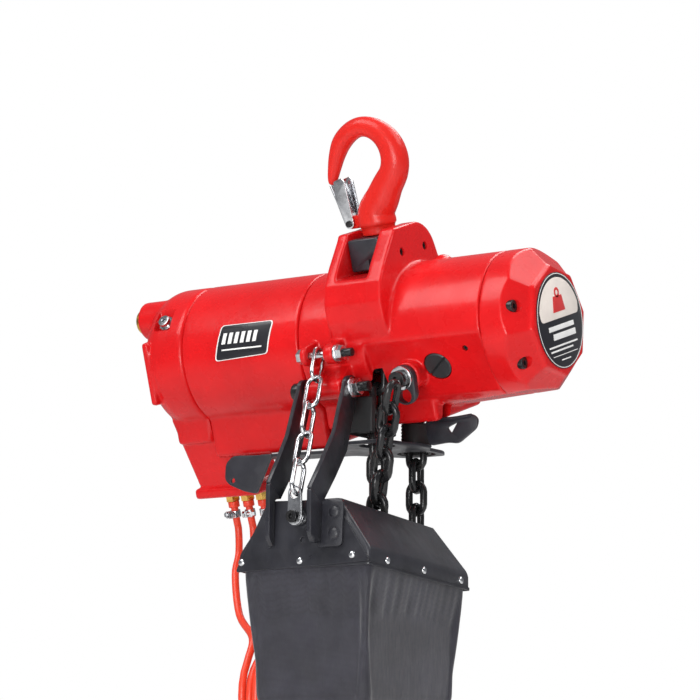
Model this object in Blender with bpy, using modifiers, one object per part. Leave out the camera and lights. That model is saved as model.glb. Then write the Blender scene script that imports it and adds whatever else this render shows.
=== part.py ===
"""Pneumatic chain hoist, about 490 kg: cast barrel body hung from a swivel hook, load chain over a pocketed
sheave, planetary drive from a vane motor, limit lever, chain bag on a swinging bracket, and a hose pendant.

Metres, +Z up. The origin is the seat of the top hook, where the load line passes. The body hangs tilted about
its barrel axis by TILT, and the chains, the bag and the pendant hang plumb."""

import math

import bmesh
import bpy
from mathutils import Matrix, Vector

# Driving dimensions
TILT = math.radians(18)  # lean of the unloaded body about its barrel axis
SEAT = 0.1725  # hook seat above the barrel axis, square to it
R_BODY = 0.062
X_COVER, X_MOTOR, X_JOINT, X_CAP, X_END = -0.228, -0.181, -0.060, 0.116, 0.1565
WALL = 0.007
GAP = 0.0003  # between touching pieces
CHEST_Y = 0.0388  # half width of the valve chest under the barrel
CHEST_Z = -0.084
FACET = 0.0555  # distance of the flat side facets from the barrel axis
FACET_ANGLE = math.radians(112)

CHAIN_WIRE, CHAIN_PITCH, CHAIN_WIDTH = 0.0063, 0.0191, 0.0212
R_SHEAVE = 0.0311  # pitch radius of the load chain on the sheave
ZINC_WIRE = 0.0038
BITE = 0.0012  # how far neighbouring links are let into each other, so that a strand is one solid

MODULE = 0.0018
SUN_TEETH, PLANET_TEETH, RING_TEETH = 9, 18, 45
R_PLANETS = MODULE * (SUN_TEETH + PLANET_TEETH) / 2
GEAR_X, GEAR_WIDTH = 0.043, 0.020
VANES = 4
SKEW = 0.06  # how far each link is turned from square to the next, as slack links lie

HOSE_OD = 0.0065
HOSE_X = (-0.197, -0.181, -0.165)  # the three fittings under the leg
COIL_X = (-0.1445, -0.130, -0.1155)
COIL_CENTRE_Y, COIL_CENTRE_Z = 0.040, -0.300
COIL_R, COIL_HALF, COIL_HALF_LENGTH = 0.038, 0.0135, 0.0215
PENDANT_Z = -0.375

BAG_PIN = (-0.062, -0.050)  # y, z from the barrel axis, plumb frame
STRAND_END = -16 * CHAIN_PITCH  # last load chain link, from the barrel axis

RED = (0.70, 0.012, 0.016)
BLACK = (0.012, 0.012, 0.016)
STEEL = (0.55, 0.56, 0.58)

MATERIALS = {
    "red_paint": (RED, 0.28, 0.0),
    "hook_paint": ((0.72, 0.02, 0.014), 0.32, 0.0),
    "black_paint": (BLACK, 0.35, 0.0),
    "dark_steel": ((0.03, 0.03, 0.033), 0.4, 1.0),
    "zinc": ((0.62, 0.63, 0.65), 0.25, 1.0),
    "steel": (STEEL, 0.35, 1.0),
    "brass": ((0.72, 0.50, 0.16), 0.28, 1.0),
    "bronze": ((0.42, 0.25, 0.12), 0.4, 1.0),
    "hose": ((0.80, 0.10, 0.03), 0.4, 0.0),
    "rubber": ((0.008, 0.008, 0.008), 0.7, 0.0),
    "plastic": ((0.02, 0.02, 0.022), 0.5, 0.0),
    "fabric": ((0.035, 0.034, 0.045), 0.9, 0.0),
    "button": ((0.75, 0.42, 0.03), 0.45, 0.0),
}

for startup in list(bpy.data.objects):
    bpy.data.objects.remove(startup)


def new_collection(name):
    made = bpy.data.collections.new(name)
    bpy.context.scene.collection.children.link(made)
    return made


PARTS = new_collection("chain_hoist")
CUTTERS = new_collection("cutters")


def new_frame(name, location, rotation=(0, 0, 0)):
    empty = bpy.data.objects.new(name, None)
    empty.location, empty.rotation_euler = location, rotation
    PARTS.objects.link(empty)
    return empty


BARREL = (0, SEAT * math.sin(TILT), -SEAT * math.cos(TILT))
BODY = new_frame("body_frame", BARREL, (TILT, 0, 0))
PLUMB = new_frame("plumb_frame", BARREL)


def material(name):
    if name not in bpy.data.materials:
        colour, roughness, metallic = MATERIALS[name]
        made = bpy.data.materials.new(name)
        made.use_nodes = True
        shader = made.node_tree.nodes["Principled BSDF"]
        shader.inputs["Base Color"].default_value = (*colour, 1)
        shader.inputs["Roughness"].default_value = roughness
        shader.inputs["Metallic"].default_value = metallic
    return bpy.data.materials[name]


# ---------------------------------------------------------------- shapes


def place(obj, frame, finish, location=(0, 0, 0), rotation=(0, 0, 0)):
    """Links an object as a part, or as a cutter when finish is None."""
    obj.parent, obj.location, obj.rotation_euler = frame, location, rotation
    (PARTS if finish else CUTTERS).objects.link(obj)
    if finish:
        obj.data.materials.append(material(finish))
    else:
        obj.hide_render, obj.display_type = True, "WIRE"
    return obj


def from_bmesh(name, shape, frame, finish, location=(0, 0, 0), rotation=(0, 0, 0)):
    mesh = bpy.data.meshes.new(name)
    shape.to_mesh(mesh)
    shape.free()
    if finish:
        mesh.shade_smooth()
        mesh.set_sharp_from_angle(angle=math.radians(35))
    return place(bpy.data.objects.new(name, mesh), frame, finish, location, rotation)


def box(name, low, high, frame, finish, bevel=0.0, rotation=(0, 0, 0), pivot=(0, 0, 0)):
    """A box between two corners, turned about pivot."""
    shape = bmesh.new()
    bmesh.ops.create_cube(shape, size=1)
    size = [h - l for l, h in zip(low, high)]
    centre = [(h + l) / 2 - p for l, h, p in zip(low, high, pivot)]
    for vertex in shape.verts:
        vertex.co = Vector(c + v * s for c, v, s in zip(centre, vertex.co, size))
    if bevel:
        bmesh.ops.bevel(shape, geom=shape.edges[:], offset=bevel, segments=1, affect="EDGES")
    return from_bmesh(name, shape, frame, finish, pivot, rotation)


AXES = {"x": (0, math.pi / 2, 0), "y": (-math.pi / 2, 0, 0), "z": (0, 0, 0)}


def rod(name, radius, start, end, centre, frame, finish, axis="x", sides=20, rotation=None):
    """A cylinder along an axis from start to end, measured from centre."""
    shape = bmesh.new()
    bmesh.ops.create_cone(
        shape, cap_ends=True, segments=sides, radius1=radius, radius2=radius, depth=end - start
    )
    bmesh.ops.translate(shape, verts=shape.verts, vec=(0, 0, (start + end) / 2))
    return from_bmesh(name, shape, frame, finish, centre, rotation or AXES[axis])


def turned(name, profile, frame, finish, centre=(0, 0, 0), axis="x", sides=24, rotation=None, ring=False):
    """A turned piece. profile is (along the axis, radius), from the far end down the outside."""
    shape = bmesh.new()
    points = [shape.verts.new((radius, 0, along)) for along, radius in profile]
    for first, second in zip(points, points[1:]):
        shape.edges.new((first, second))
    if ring:
        shape.edges.new((points[-1], points[0]))
    mesh = bpy.data.meshes.new(name)
    shape.to_mesh(mesh)
    shape.free()
    obj = place(bpy.data.objects.new(name, mesh), frame, finish, centre, rotation or AXES[axis])
    screw = obj.modifiers.new("turn", "SCREW")
    screw.steps = screw.render_steps = sides
    screw.use_merge_vertices = True
    screw.merge_threshold = 0.00001
    return obj


def ring(name, outer, inner, start, end, centre, frame, finish, axis="x", sides=24, rotation=None):
    profile = [(end, inner), (end, outer), (start, outer), (start, inner)]
    return turned(name, profile, frame, finish, centre, axis, sides, rotation, ring=True)


def as_mesh(curve):
    """Turns a curve object into a mesh object with welded caps."""
    bpy.context.view_layer.update()
    graph = bpy.context.evaluated_depsgraph_get()
    mesh = bpy.data.meshes.new_from_object(curve.evaluated_get(graph))
    shape = bmesh.new()
    shape.from_mesh(mesh)
    bmesh.ops.remove_doubles(shape, verts=shape.verts, dist=0.000005)
    bmesh.ops.recalc_face_normals(shape, faces=shape.faces)
    shape.to_mesh(mesh)
    shape.free()
    name, parent = curve.name, curve.parent
    location, rotation = curve.location.copy(), curve.rotation_euler.copy()
    home = curve.users_collection[0]
    hidden = curve.hide_render
    bpy.data.objects.remove(curve)
    obj = bpy.data.objects.new(name, mesh)
    obj.parent, obj.location, obj.rotation_euler = parent, location, rotation
    if hidden:
        obj.hide_render, obj.display_type = True, "WIRE"
    home.objects.link(obj)
    return obj


def plate(name, outline, thickness, frame, finish, location=(0, 0, 0), rotation=(0, 0, 0), holes=()):
    """A flat outline in its own XY plane, centred on it, with round holes (x, y, radius)."""
    curve = bpy.data.curves.new(name, "CURVE")
    curve.dimensions, curve.fill_mode, curve.extrude = "2D", "BOTH", thickness / 2
    loops = [outline] + [circle(radius, 12, x, y) for x, y, radius in holes]
    for loop in loops:
        spline = curve.splines.new("POLY")
        spline.points.add(len(loop) - 1)
        for point, (x, y) in zip(spline.points, loop):
            point.co = (x, y, 0, 1)
        spline.use_cyclic_u = True
    return as_mesh(place(bpy.data.objects.new(name, curve), frame, finish, location, rotation))


def circle(radius, count, x=0.0, y=0.0, start=0.0, sweep=2 * math.pi):
    return [
        (x + radius * math.cos(start + sweep * i / count), y + radius * math.sin(start + sweep * i / count))
        for i in range(count)
    ]


def arc(radius, first, last, count, x=0.0, y=0.0):
    """Points of an arc, both ends included, angles in degrees."""
    turn = [math.radians(first + (last - first) * i / count) for i in range(count + 1)]
    return [(x + radius * math.cos(a), y + radius * math.sin(a)) for a in turn]


def tube(name, points, radius, frame, finish, sides=2, radii=None, cyclic=False):
    curve = bpy.data.curves.new(name, "CURVE")
    curve.dimensions, curve.bevel_depth, curve.bevel_resolution = "3D", radius, sides
    curve.use_fill_caps = True
    spline = curve.splines.new("POLY")
    spline.points.add(len(points) - 1)
    for i, (point, where) in enumerate(zip(spline.points, points)):
        point.co = (*where, 1)
        if radii:
            point.radius = radii[i] / radius
    spline.use_cyclic_u = cyclic
    return place(bpy.data.objects.new(name, curve), frame, finish)


def smooth(points, steps):
    """A Catmull-Rom curve through the points."""
    points = [Vector(p) for p in points]
    ends = [2 * points[0] - points[1], *points, 2 * points[-1] - points[-2]]
    made = []
    for a, b, c, d in zip(ends, ends[1:], ends[2:], ends[3:]):
        for i in range(steps):
            t = i / steps
            made.append(
                0.5 * (2 * b + (c - a) * t + (2 * a - 5 * b + 4 * c - d) * t**2 + (3 * b - a - 3 * c + d) * t**3)
            )
    return made + [points[-1]]


def combine(obj, others, operation):
    for other in others:
        change = obj.modifiers.new(operation.lower(), "BOOLEAN")
        change.operation, change.object, change.solver = operation, other, "EXACT"
    return obj


def cut(obj, *cutters):
    return combine(obj, cutters, "DIFFERENCE")


def join(obj, *pieces):
    return combine(obj, pieces, "UNION")


def nut(name, across, bore, start, end, centre, frame, finish, axis="z"):
    """A hexagon nut; across is over its corners."""
    turn = {"z": (0, 0, 0), "x": (math.pi / 2, 0, math.pi / 2)}[axis]
    middle = Vector(centre) + Vector((1, 0, 0) if axis == "x" else (0, 0, 1)) * (start + end) / 2
    return plate(name, circle(across / 2, 6), end - start, frame, finish, middle, turn, [(0, 0, bore)])


def bolt(name, radius, head_radius, head, shank, centre, frame, finish, axis="x", rotation=None, sides=6):
    """A bolt along its axis: the head stands at the positive end, from 0 to head; the shank goes to -shank."""
    profile = [(head, 0), (head, head_radius), (0, head_radius), (0, radius), (-shank, radius), (-shank, 0)]
    return turned(name, profile, frame, finish, centre, axis, sides, rotation)


def gear(name, teeth, module, width, centre, frame, finish, bore=0.0, phase=0.0):
    """A spur gear about X with straight-flanked teeth, slim enough to leave backlash."""
    pitch = math.tau / teeth
    pitch_radius = module * teeth / 2
    root, tip = pitch_radius - 1.25 * module, pitch_radius + 0.90 * module
    outline = []
    for i in range(teeth):
        middle = i * pitch + phase
        for radius, angle in ((root, -0.34), (tip, -0.13), (tip, 0.13), (root, 0.34)):
            turn = middle + angle * pitch
            outline.append((radius * math.cos(turn), radius * math.sin(turn)))
    holes = [(0, 0, bore)] if bore else []
    return plate(name, outline, width, frame, finish, centre, (math.pi / 2, 0, math.pi / 2), holes)


def ring_gear(name, teeth, module, outer, width, centre, frame, finish):
    """An internal gear about X, whose tooth 0 points to the axis from +Y."""
    pitch = math.tau / teeth
    pitch_radius = module * teeth / 2
    root, tip = pitch_radius + 1.25 * module, pitch_radius - 0.90 * module
    inner = []
    for i in range(teeth):
        for radius, angle in ((root, -0.34), (tip, -0.13), (tip, 0.13), (root, 0.34)):
            turn = (i + angle) * pitch
            inner.append((radius * math.cos(turn), radius * math.sin(turn)))
    curve = bpy.data.curves.new(name, "CURVE")
    curve.dimensions, curve.fill_mode, curve.extrude = "2D", "BOTH", width / 2
    for loop in (circle(outer, 32), inner):
        spline = curve.splines.new("POLY")
        spline.points.add(len(loop) - 1)
        for point, (x, y) in zip(spline.points, loop):
            point.co = (x, y, 0, 1)
        spline.use_cyclic_u = True
    made = bpy.data.objects.new(name, curve)
    return as_mesh(place(made, frame, finish, centre, (math.pi / 2, 0, math.pi / 2)))


def link_points(pitch, wire, width, bend=4):
    """Centreline of a stadium link lying along Z in its own XZ plane."""
    radius = (width - wire) / 2
    half = (pitch + wire) / 2 - radius
    upper = [(x, z + half) for x, z in arc(radius, 0, 180, bend)]
    lower = [(x, z - half) for x, z in arc(radius, 180, 360, bend)]
    return [(x, 0, z) for x, z in upper + lower]


def chain(name, places, pitch, wire, width, frame, finish):
    """Links at (centre, direction along the link, direction across its width), united into one strand."""
    links = []
    for i, (centre, along, wide) in enumerate(places):
        one = tube(f"{name}_{i}", link_points(pitch, wire, width), wire / 2, frame, None, 0, cyclic=True)
        along = Vector(along).normalized()
        flat = along.cross(Vector(wide)).normalized()
        rotation = Matrix((flat.cross(along), flat, along)).transposed()
        rotation = rotation @ Matrix.Rotation(SKEW if i % 2 else -SKEW, 3, "Z")
        one.location, one.rotation_euler = centre, rotation.to_euler()
        links.append(as_mesh(one))
    strand = bpy.data.objects.new(name, bpy.data.meshes.new(name))
    place(strand, frame, finish)
    even = merged(f"{name}_even", links[0::2], frame)
    odd = merged(f"{name}_odd", links[1::2], frame)
    strand.data = even.data.copy()
    strand.data.materials.clear()
    strand.data.materials.append(material(finish))
    return join(strand, odd)


def merged(name, objects, frame):
    """One cutter object holding the meshes of several that don't touch each other."""
    shape = bmesh.new()
    for obj in objects:
        matrix = Matrix.LocRotScale(obj.location, obj.rotation_euler, None)
        piece = obj.data.copy()
        piece.transform(matrix)
        shape.from_mesh(piece)
        bpy.data.meshes.remove(piece)
        bpy.data.objects.remove(obj)
    return from_bmesh(name, shape, frame, None)


def radial(angle):
    """Rotation that turns local +Z to point out of the barrel at an angle from up towards the front."""
    return (angle, 0, 0)


def on_barrel(x, radius, angle):
    """A point at a radius from the barrel axis, angle from up towards -Y."""
    return (x, -radius * math.sin(angle), radius * math.cos(angle))


# ---------------------------------------------------------------- castings


def lug_outline():
    """Side view of the suspension lug, y and z."""
    crest = arc(0.030, 100, 20, 5, 0.008, 0.0655)
    return [(-0.046, 0.036), (-0.0305, 0.0905), (-0.027, 0.0945)] + crest + [(0.044, 0.036)]


def lever_ear(name, y, z, radius, reach, x_low, x_high):
    """A rounded ear in a YZ plane, from the barrel out to a pin at y, z."""
    away = math.atan2(z, y)
    out = arc(radius, math.degrees(away) - 90, math.degrees(away) + 90, 6, y, z)
    foot = (y - reach * math.cos(away), z - reach * math.sin(away))
    side = Vector((-math.sin(away), math.cos(away))) * radius * 1.25
    outline = out + [(foot[0] + side.x, foot[1] + side.y), (foot[0] - side.x, foot[1] - side.y)]
    centre = ((x_low + x_high) / 2, 0, 0)
    return plate(name, outline, x_high - x_low, BODY, None, centre, (math.pi / 2, 0, math.pi / 2))


def to_body(y, z):
    """Plumb y, z from the barrel axis, turned into the tilted body's frame."""
    return (
        y * math.cos(TILT) + z * math.sin(TILT),
        -y * math.sin(TILT) + z * math.cos(TILT),
    )


STOP_BOLT = (-0.0755, 0.001)  # y, z in the body's frame
BAG_PIN_BODY = to_body(*BAG_PIN)
ANCHOR_X, ANCHOR_Z = 0.042, -0.0255
YOKE_BOLT_Y, YOKE_BOLT_Z = 0.019, 0.0735


def make_centre_body():
    """The main casting: sheave chamber, gear chamber, suspension lug, ears and chain anchor boss."""
    shell = turned(
        "centre_body",
        [(X_CAP - GAP, 0), (X_CAP - GAP, R_BODY), (X_JOINT, R_BODY), (X_JOINT, 0)],
        BODY,
        "red_paint",
        sides=36,
    )
    facets = []
    for side in (1, -1):
        angle = side * FACET_ANGLE
        facet = box(
            f"cut_facet_{side}", (0.003, -0.060, FACET), (0.2, 0.060, FACET + 0.03), BODY, None,
            rotation=radial(angle),
        )
        facets.append(facet)
    cut(shell, *facets)
    lug = plate(
        "add_lug", lug_outline(), 0.056, BODY, None, (0.0025, 0, 0), (math.pi / 2, 0, math.pi / 2)
    )
    chest = box("add_chest", (X_JOINT + GAP, -CHEST_Y, -0.0685), (0.050, CHEST_Y, -0.02), BODY, None)
    stop_left = lever_ear("add_stop_ear_left", *STOP_BOLT, 0.0085, 0.024, -0.046, -0.040)
    stop_right = lever_ear("add_stop_ear_right", *STOP_BOLT, 0.0085, 0.024, -0.023, -0.0135)
    bag_ear = lever_ear("add_bag_ear", *BAG_PIN_BODY, 0.009, 0.030, -0.0475, -0.0115)
    boss = rod("add_anchor_boss", 0.0115, 0, 0.026, (ANCHOR_X, -0.064, ANCHOR_Z), BODY, None, "y", 16)
    join(shell, lug, chest, stop_left, stop_right, bag_ear, boss)
    slot = box("cut_lug_slot", (-0.0155, -0.07, 0.0605), (0.0155, 0.07, 0.12), BODY, None)
    pocket = rod("cut_nut_pocket", 0.0135, 0.0475, 0.07, (0, 0, 0), BODY, None, "z", 16)
    yoke_bolts = [
        rod(f"cut_yoke_bolt_{side}", 0.0036, -0.05, 0.05, (0, side * YOKE_BOLT_Y, YOKE_BOLT_Z), BODY, None, "x", 12)
        for side in (1, -1)
    ]
    stop_hole = rod("cut_stop_hole", 0.0036, -0.06, 0.0, (0, *STOP_BOLT), BODY, None, "x", 12)
    bag_hole = rod("cut_bag_hole", 0.0046, -0.06, 0.0, (0, *BAG_PIN_BODY), BODY, None, "x", 12)
    anchor_hole = rod(
        "cut_anchor_hole", 0.0046, -0.002, 0.022, (ANCHOR_X, -0.066, ANCHOR_Z), BODY, None, "y", 12,
    )
    sheave_room = rod("cut_sheave_room", 0.0445, -0.0155, 0.0155, (0, 0, 0), BODY, None, "x", 24)
    ports = [
        box(f"cut_chain_port_{side}", (-0.0135, side * R_SHEAVE - 0.0135, -0.12),
            (0.0135, side * R_SHEAVE + 0.0135, 0), PLUMB, None)
        for side in (1, -1)
    ]
    gear_room = rod("cut_gear_room", 0.0495, 0.031, 0.13, (0, 0, 0), BODY, None, "x", 32)
    motor_spigot = rod("cut_motor_spigot", 0.0495, -0.07, -0.052, (0, 0, 0), BODY, None, "x", 32)
    bearing_left = rod("cut_bearing_left", 0.0203, -0.06, -0.026, (0, 0, 0), BODY, None, "x", 24)
    bearing_right = rod("cut_bearing_right", 0.0203, 0.019, 0.04, (0, 0, 0), BODY, None, "x", 24)
    through = rod("cut_through", 0.0148, -0.06, 0.04, (0, 0, 0), BODY, None, "x", 24)
    plug = rod(
        "cut_plug", 0.0125, FACET - 0.006, FACET + 0.02, (0.066, 0, 0), BODY, None, "z", 20,
        radial(FACET_ANGLE),
    )
    lever_slot = box("cut_lever_slot", (-0.044, -0.008, -0.10), (-0.026, 0.008, -0.058), BODY, None)
    lever_bore = rod("cut_lever_bore", 0.0034, -0.03, 0.03, (-0.035, 0, -0.0635), BODY, None, "y", 12)
    return cut(
        shell, slot, pocket, *yoke_bolts, stop_hole, bag_hole, anchor_hole, sheave_room, *ports,
        gear_room, motor_spigot, bearing_left, bearing_right, through, plug, lever_slot, lever_bore,
    )


def make_motor_housing():
    low, high = X_MOTOR + GAP, X_JOINT - GAP
    shell = turned(
        "motor_housing", [(high, 0), (high, R_BODY), (low, R_BODY), (low, 0)], BODY, "red_paint",
        sides=36,
    )
    chest = box(
        "add_valve_chest", (low + GAP, -CHEST_Y, CHEST_Z), (high - GAP, CHEST_Y, -0.02), BODY, None,
        0.003,
    )
    join(shell, chest)
    bore = rod("cut_motor_bore", 0.0495, -0.25, 0, (0, 0, 0), BODY, None, "x", 32)
    valve_room = box("cut_valve_room", (-0.2, -0.030, CHEST_Z + WALL), (-0.085, 0.030, -0.058), BODY, None)
    return cut(shell, bore, valve_room)


LEG_LOW = -0.112


def make_manifold_cover():
    """The left end cover with the leg that carries the hose fittings."""
    high = X_MOTOR
    profile = [
        (high, 0), (high, R_BODY), (X_COVER + 0.016, R_BODY), (X_COVER + 0.005, R_BODY - 0.005),
        (X_COVER, R_BODY - 0.014), (X_COVER, 0),
    ]
    shell = turned("manifold_cover", profile, BODY, "red_paint", sides=36)
    leg_shape = bmesh.new()
    bmesh.ops.create_cube(leg_shape, size=1)
    for vertex in leg_shape.verts:
        upper = vertex.co.z > 0
        low_x, high_x = (X_COVER + 0.006, high) if upper else (-0.212, -0.160)
        half = CHEST_Y if upper else 0.026
        vertex.co = Vector(
            (
                high_x - GAP if vertex.co.x > 0 else low_x, math.copysign(half, vertex.co.y),
                -0.045 if upper else LEG_LOW,
            ),
        )
    leg = from_bmesh("add_leg", leg_shape, BODY, None)
    chest = box(
        "add_cover_chest", (X_COVER + 0.010, -CHEST_Y, -0.070), (high - GAP, CHEST_Y, -0.02), BODY, None,
        0.002,
    )
    flange = box(
        "add_flange", (-0.216, -0.030, LEG_LOW - 0.009), (-0.150, 0.030, LEG_LOW + 0.0005), BODY, None,
        0.002,
    )
    inlet = rod(
        "add_inlet_boss", 0.017, X_COVER - 0.015, X_COVER + 0.02, (0, -0.016, 0.040), BODY, None, "x", 20,
    )
    exhaust = rod(
        "add_exhaust_cap", 0.0135, X_COVER - 0.007, X_COVER + 0.002, (0, -0.030, 0), BODY, None, "x", 20,
    )
    join(shell, leg, chest, flange, inlet, exhaust)
    trim = box("cut_leg_side", (high, -0.1, CHEST_Z - 0.0005), (0.0, 0.1, 0.07), BODY, None)
    room = rod("cut_cover_room", 0.0495, X_COVER + WALL, 0, (0, 0, 0), BODY, None, "x", 32)
    passage = box("cut_leg_passage", (-0.206, -0.018, -0.105), (-0.182, 0.018, -0.03), BODY, None)
    inlet_bore = rod("cut_inlet_bore", 0.0085, -0.3, -0.22, (0, -0.016, 0.040), BODY, None, "x", 16)
    bolt_pocket = box("cut_cover_bolt_pocket", (-0.214, -0.062, 0.034), (-0.196, -0.036, 0.062), BODY, None)
    fittings = [
        rod(f"cut_fitting_{i}", 0.0042, LEG_LOW - 0.02, LEG_LOW + 0.004, (x, 0, 0), BODY, None, "z", 12)
        for i, x in enumerate(HOSE_X)
    ]
    return cut(shell, trim, room, passage, inlet_bore, bolt_pocket, *fittings)


CAP_SCREWS = [math.radians(a) for a in (67, 119, 241, 293)]


def make_end_cap():
    """Eight-sided cap with a wide chamfer round its flat face."""
    profile = [
        (X_END, 0), (X_END, 0.046), (X_END - 0.004, 0.0475), (X_END - 0.019, 0.0655), (X_CAP, 0.0655),
        (X_CAP, 0),
    ]
    cap = turned("end_cap", profile, BODY, "red_paint", sides=8, rotation=(0, math.pi / 2, 0))
    barrel = rod("limit_end_cap", R_BODY, X_CAP - 0.01, X_END + 0.01, (0, 0, 0), BODY, None, "x", 32)
    combine(cap, [barrel], "INTERSECT")
    room = rod("cut_cap_room", 0.0445, 0.1, X_END - WALL, (0, 0, 0), BODY, None, "x", 32)
    screws = []
    for i, angle in enumerate(CAP_SCREWS):
        centre = on_barrel(0, 0.0535, angle)
        screws.append(rod(f"cut_cap_head_{i}", 0.0052, 0.132, 0.2, centre, BODY, None, "x", 12))
        screws.append(rod(f"cut_cap_shank_{i}", 0.0030, 0.1, 0.2, centre, BODY, None, "x", 10))
    return cut(cap, room, *screws)


def make_oil_plug():
    plug = turned(
        "oil_plug",
        [
            (FACET + 0.0008, 0), (FACET + 0.0008, 0.0108), (FACET, 0.0118), (FACET - 0.0055, 0.0118),
            (FACET - 0.0055, 0),
        ],
        BODY, "plastic", (0.066, 0, 0), "z", 20, radial(FACET_ANGLE),
    )
    slot = box(
        "cut_plug_slot", (0.052, -0.0009, FACET - 0.0015), (0.080, 0.0009, FACET + 0.01), BODY, None,
        rotation=radial(FACET_ANGLE),
    )
    return cut(plug, slot)


def make_inlet():
    """The brass bush that the main air hose screws into."""
    return turned(
        "air_inlet_bush",
        [(-0.014, 0.0055), (0.006, 0.0055), (0.006, 0.0105), (0, 0.0105), (0, 0.0078), (-0.014, 0.0078)],
        BODY, "brass", (X_COVER - 0.0153, -0.016, 0.040), rotation=(0, -math.pi / 2, 0), sides=12, ring=True,
    )


# ---------------------------------------------------------------- suspension


def hook_sections():
    """The hook's centreline (across, above the barrel axis) and its thickness, from the neck to the tip."""
    return [
        ((0.000, 0.0895), 0.0143), ((0.000, 0.0960), 0.0148), ((0.000, 0.0990), 0.0166),
        ((0.0005, 0.1085), 0.0160), ((0.0085, 0.1190), 0.0148), ((0.0155, 0.1290), 0.0135),
        ((0.0235, 0.1390), 0.0126), ((0.0268, 0.1500), 0.0122), ((0.0250, 0.1620), 0.0114),
        ((0.0185, 0.1722), 0.0102), ((0.0085, 0.1790), 0.0090), ((-0.0025, 0.1810), 0.0085),
        ((-0.0130, 0.1775), 0.0086), ((-0.0225, 0.1700), 0.0085), ((-0.0290, 0.1600), 0.0073),
        ((-0.0335, 0.1500), 0.0060), ((-0.0370, 0.1410), 0.0046), ((-0.0385, 0.1365), 0.0030),
    ]


def make_hook(name, frame, finish, origin, flip, depth, shank):
    """A swivel hook whose neck starts at the block face; flip -1 hangs it point up below the block."""
    sections = hook_sections()
    base = sections[0][0][1]
    points = [(origin[0] + x, origin[1], origin[2] + flip * (z - base)) for (x, z), _ in sections]
    bow = tube(f"bow_{name}", points, 0.01, frame, None, 3, [r for _, r in sections])
    bow = as_mesh(bow)
    for vertex in bow.data.vertices:
        vertex.co.y = origin[1] + (vertex.co.y - origin[1]) * depth
    stem = rod(f"stem_{name}", 0.0078, -shank, 0.012, origin, frame, None, "z", 16)
    if flip < 0:
        stem.rotation_euler = (math.pi, 0, 0)
    hook = bpy.data.objects.new(name, bow.data.copy())
    place(hook, frame, finish)
    bpy.data.objects.remove(bow)
    ear_low, ear_high = sorted((origin[2] + flip * 0.0072, origin[2] + flip * 0.0185))
    nose = box(f"nose_{name}", (origin[0] - 0.0275, origin[1] - 0.0042, ear_low),
               (origin[0] - 0.010, origin[1] + 0.0042, ear_high), frame, None, 0.002)
    join(hook, stem, nose)
    pin_hole = rod(
        f"cut_latch_pin_{name}", 0.0018, -0.02, 0.02,
        (origin[0] + LATCH_X, origin[1], origin[2] + flip * (LATCH_Z - HOOK_BASE)), frame, None, "y", 10,
    )
    return cut(hook, pin_hole)


LATCH_X, LATCH_Z = -0.0235, 0.1015  # the top latch's pin in the body's frame
HOOK_BASE = 0.0895


def make_latch(name, frame, origin, flip):
    """A folded safety latch: two cheeks either side of the nose and a web that meets the hook's tip."""
    lean = math.radians(14)
    length = 0.0385
    pivot = (origin[0] + LATCH_X, origin[2] + flip * (LATCH_Z - HOOK_BASE))

    def at(across, up):
        x = pivot[0] + across * math.cos(lean) - up * math.sin(lean)
        return (x, pivot[1] + flip * (across * math.sin(lean) + up * math.cos(lean)))

    side = [
        (-0.0042, -0.001), (0, -0.0045), (0.0042, -0.001), (0.0105, length - 0.004), (0.0085, length),
        (0.0002, length), (-0.0042, length * 0.6),
    ]
    outline = [at(*p) for p in side]
    latch = plate(name, outline, 0.0150, frame, "zinc", (0, origin[1], 0), (math.pi / 2, 0, 0))
    web = (0, -flip * lean, 0) if flip > 0 else (math.pi, lean, 0)
    where = (pivot[0], origin[1], pivot[1])
    room = box(
        f"cut_{name}", (-0.0030, -0.0058, 0.006), (0.03, 0.0058, length + 0.01), frame, None,
        rotation=web,
    )
    nose_room = box(
        f"cut_nose_{name}", (-0.02, -0.0058, -0.02), (0.03, 0.0058, 0.0090), frame, None, rotation=web,
    )
    room.location = nose_room.location = where
    hole = rod(f"cut_pin_{name}", 0.0018, -0.02, 0.02, (pivot[0], origin[1], pivot[1]), frame, None, "y", 10)
    cut(latch, room, nose_room, hole)
    rod(f"{name}_pin", 0.0015, -0.0088, 0.0088, (pivot[0], origin[1], pivot[1]), frame, "dark_steel", "y", 8)
    return latch


def make_suspension():
    make_hook("top_hook", BODY, "hook_paint", (0, 0, HOOK_BASE), 1, 0.9, 0.0395)
    make_latch("top_latch", BODY, (0, 0, HOOK_BASE), 1)
    yoke = box("hook_yoke", (-0.0150, -0.029, 0.0620), (0.0150, 0.029, 0.0888), BODY, "black_paint", 0.0015)
    bore = rod("cut_yoke_bore", 0.0082, 0.05, 0.1, (0, 0, 0), BODY, None, "z", 16)
    holes = [
        rod(f"cut_yoke_cross_{side}", 0.0036, -0.05, 0.05, (0, side * YOKE_BOLT_Y, YOKE_BOLT_Z), BODY, None, "x", 12)
        for side in (1, -1)
    ]
    cut(yoke, bore, *holes)
    for i, side in enumerate((-1, 1)):
        screw = rod(f"yoke_screw_{i + 1}", 0.0033, -0.0245, 0.0280,
                    (0, side * YOKE_BOLT_Y, YOKE_BOLT_Z), BODY, "dark_steel", "x", 12)
        socket = rod(f"cut_yoke_socket_{i}", 0.0018, 0.025, 0.04,
                     (0, side * YOKE_BOLT_Y, YOKE_BOLT_Z), BODY, None, "x", 6)
        cut(screw, socket)
    nut("hook_nut", 0.0236, 0.0084, 0.0505, 0.0612, (0, 0, 0), BODY, "steel")


# ---------------------------------------------------------------- drive train


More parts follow.
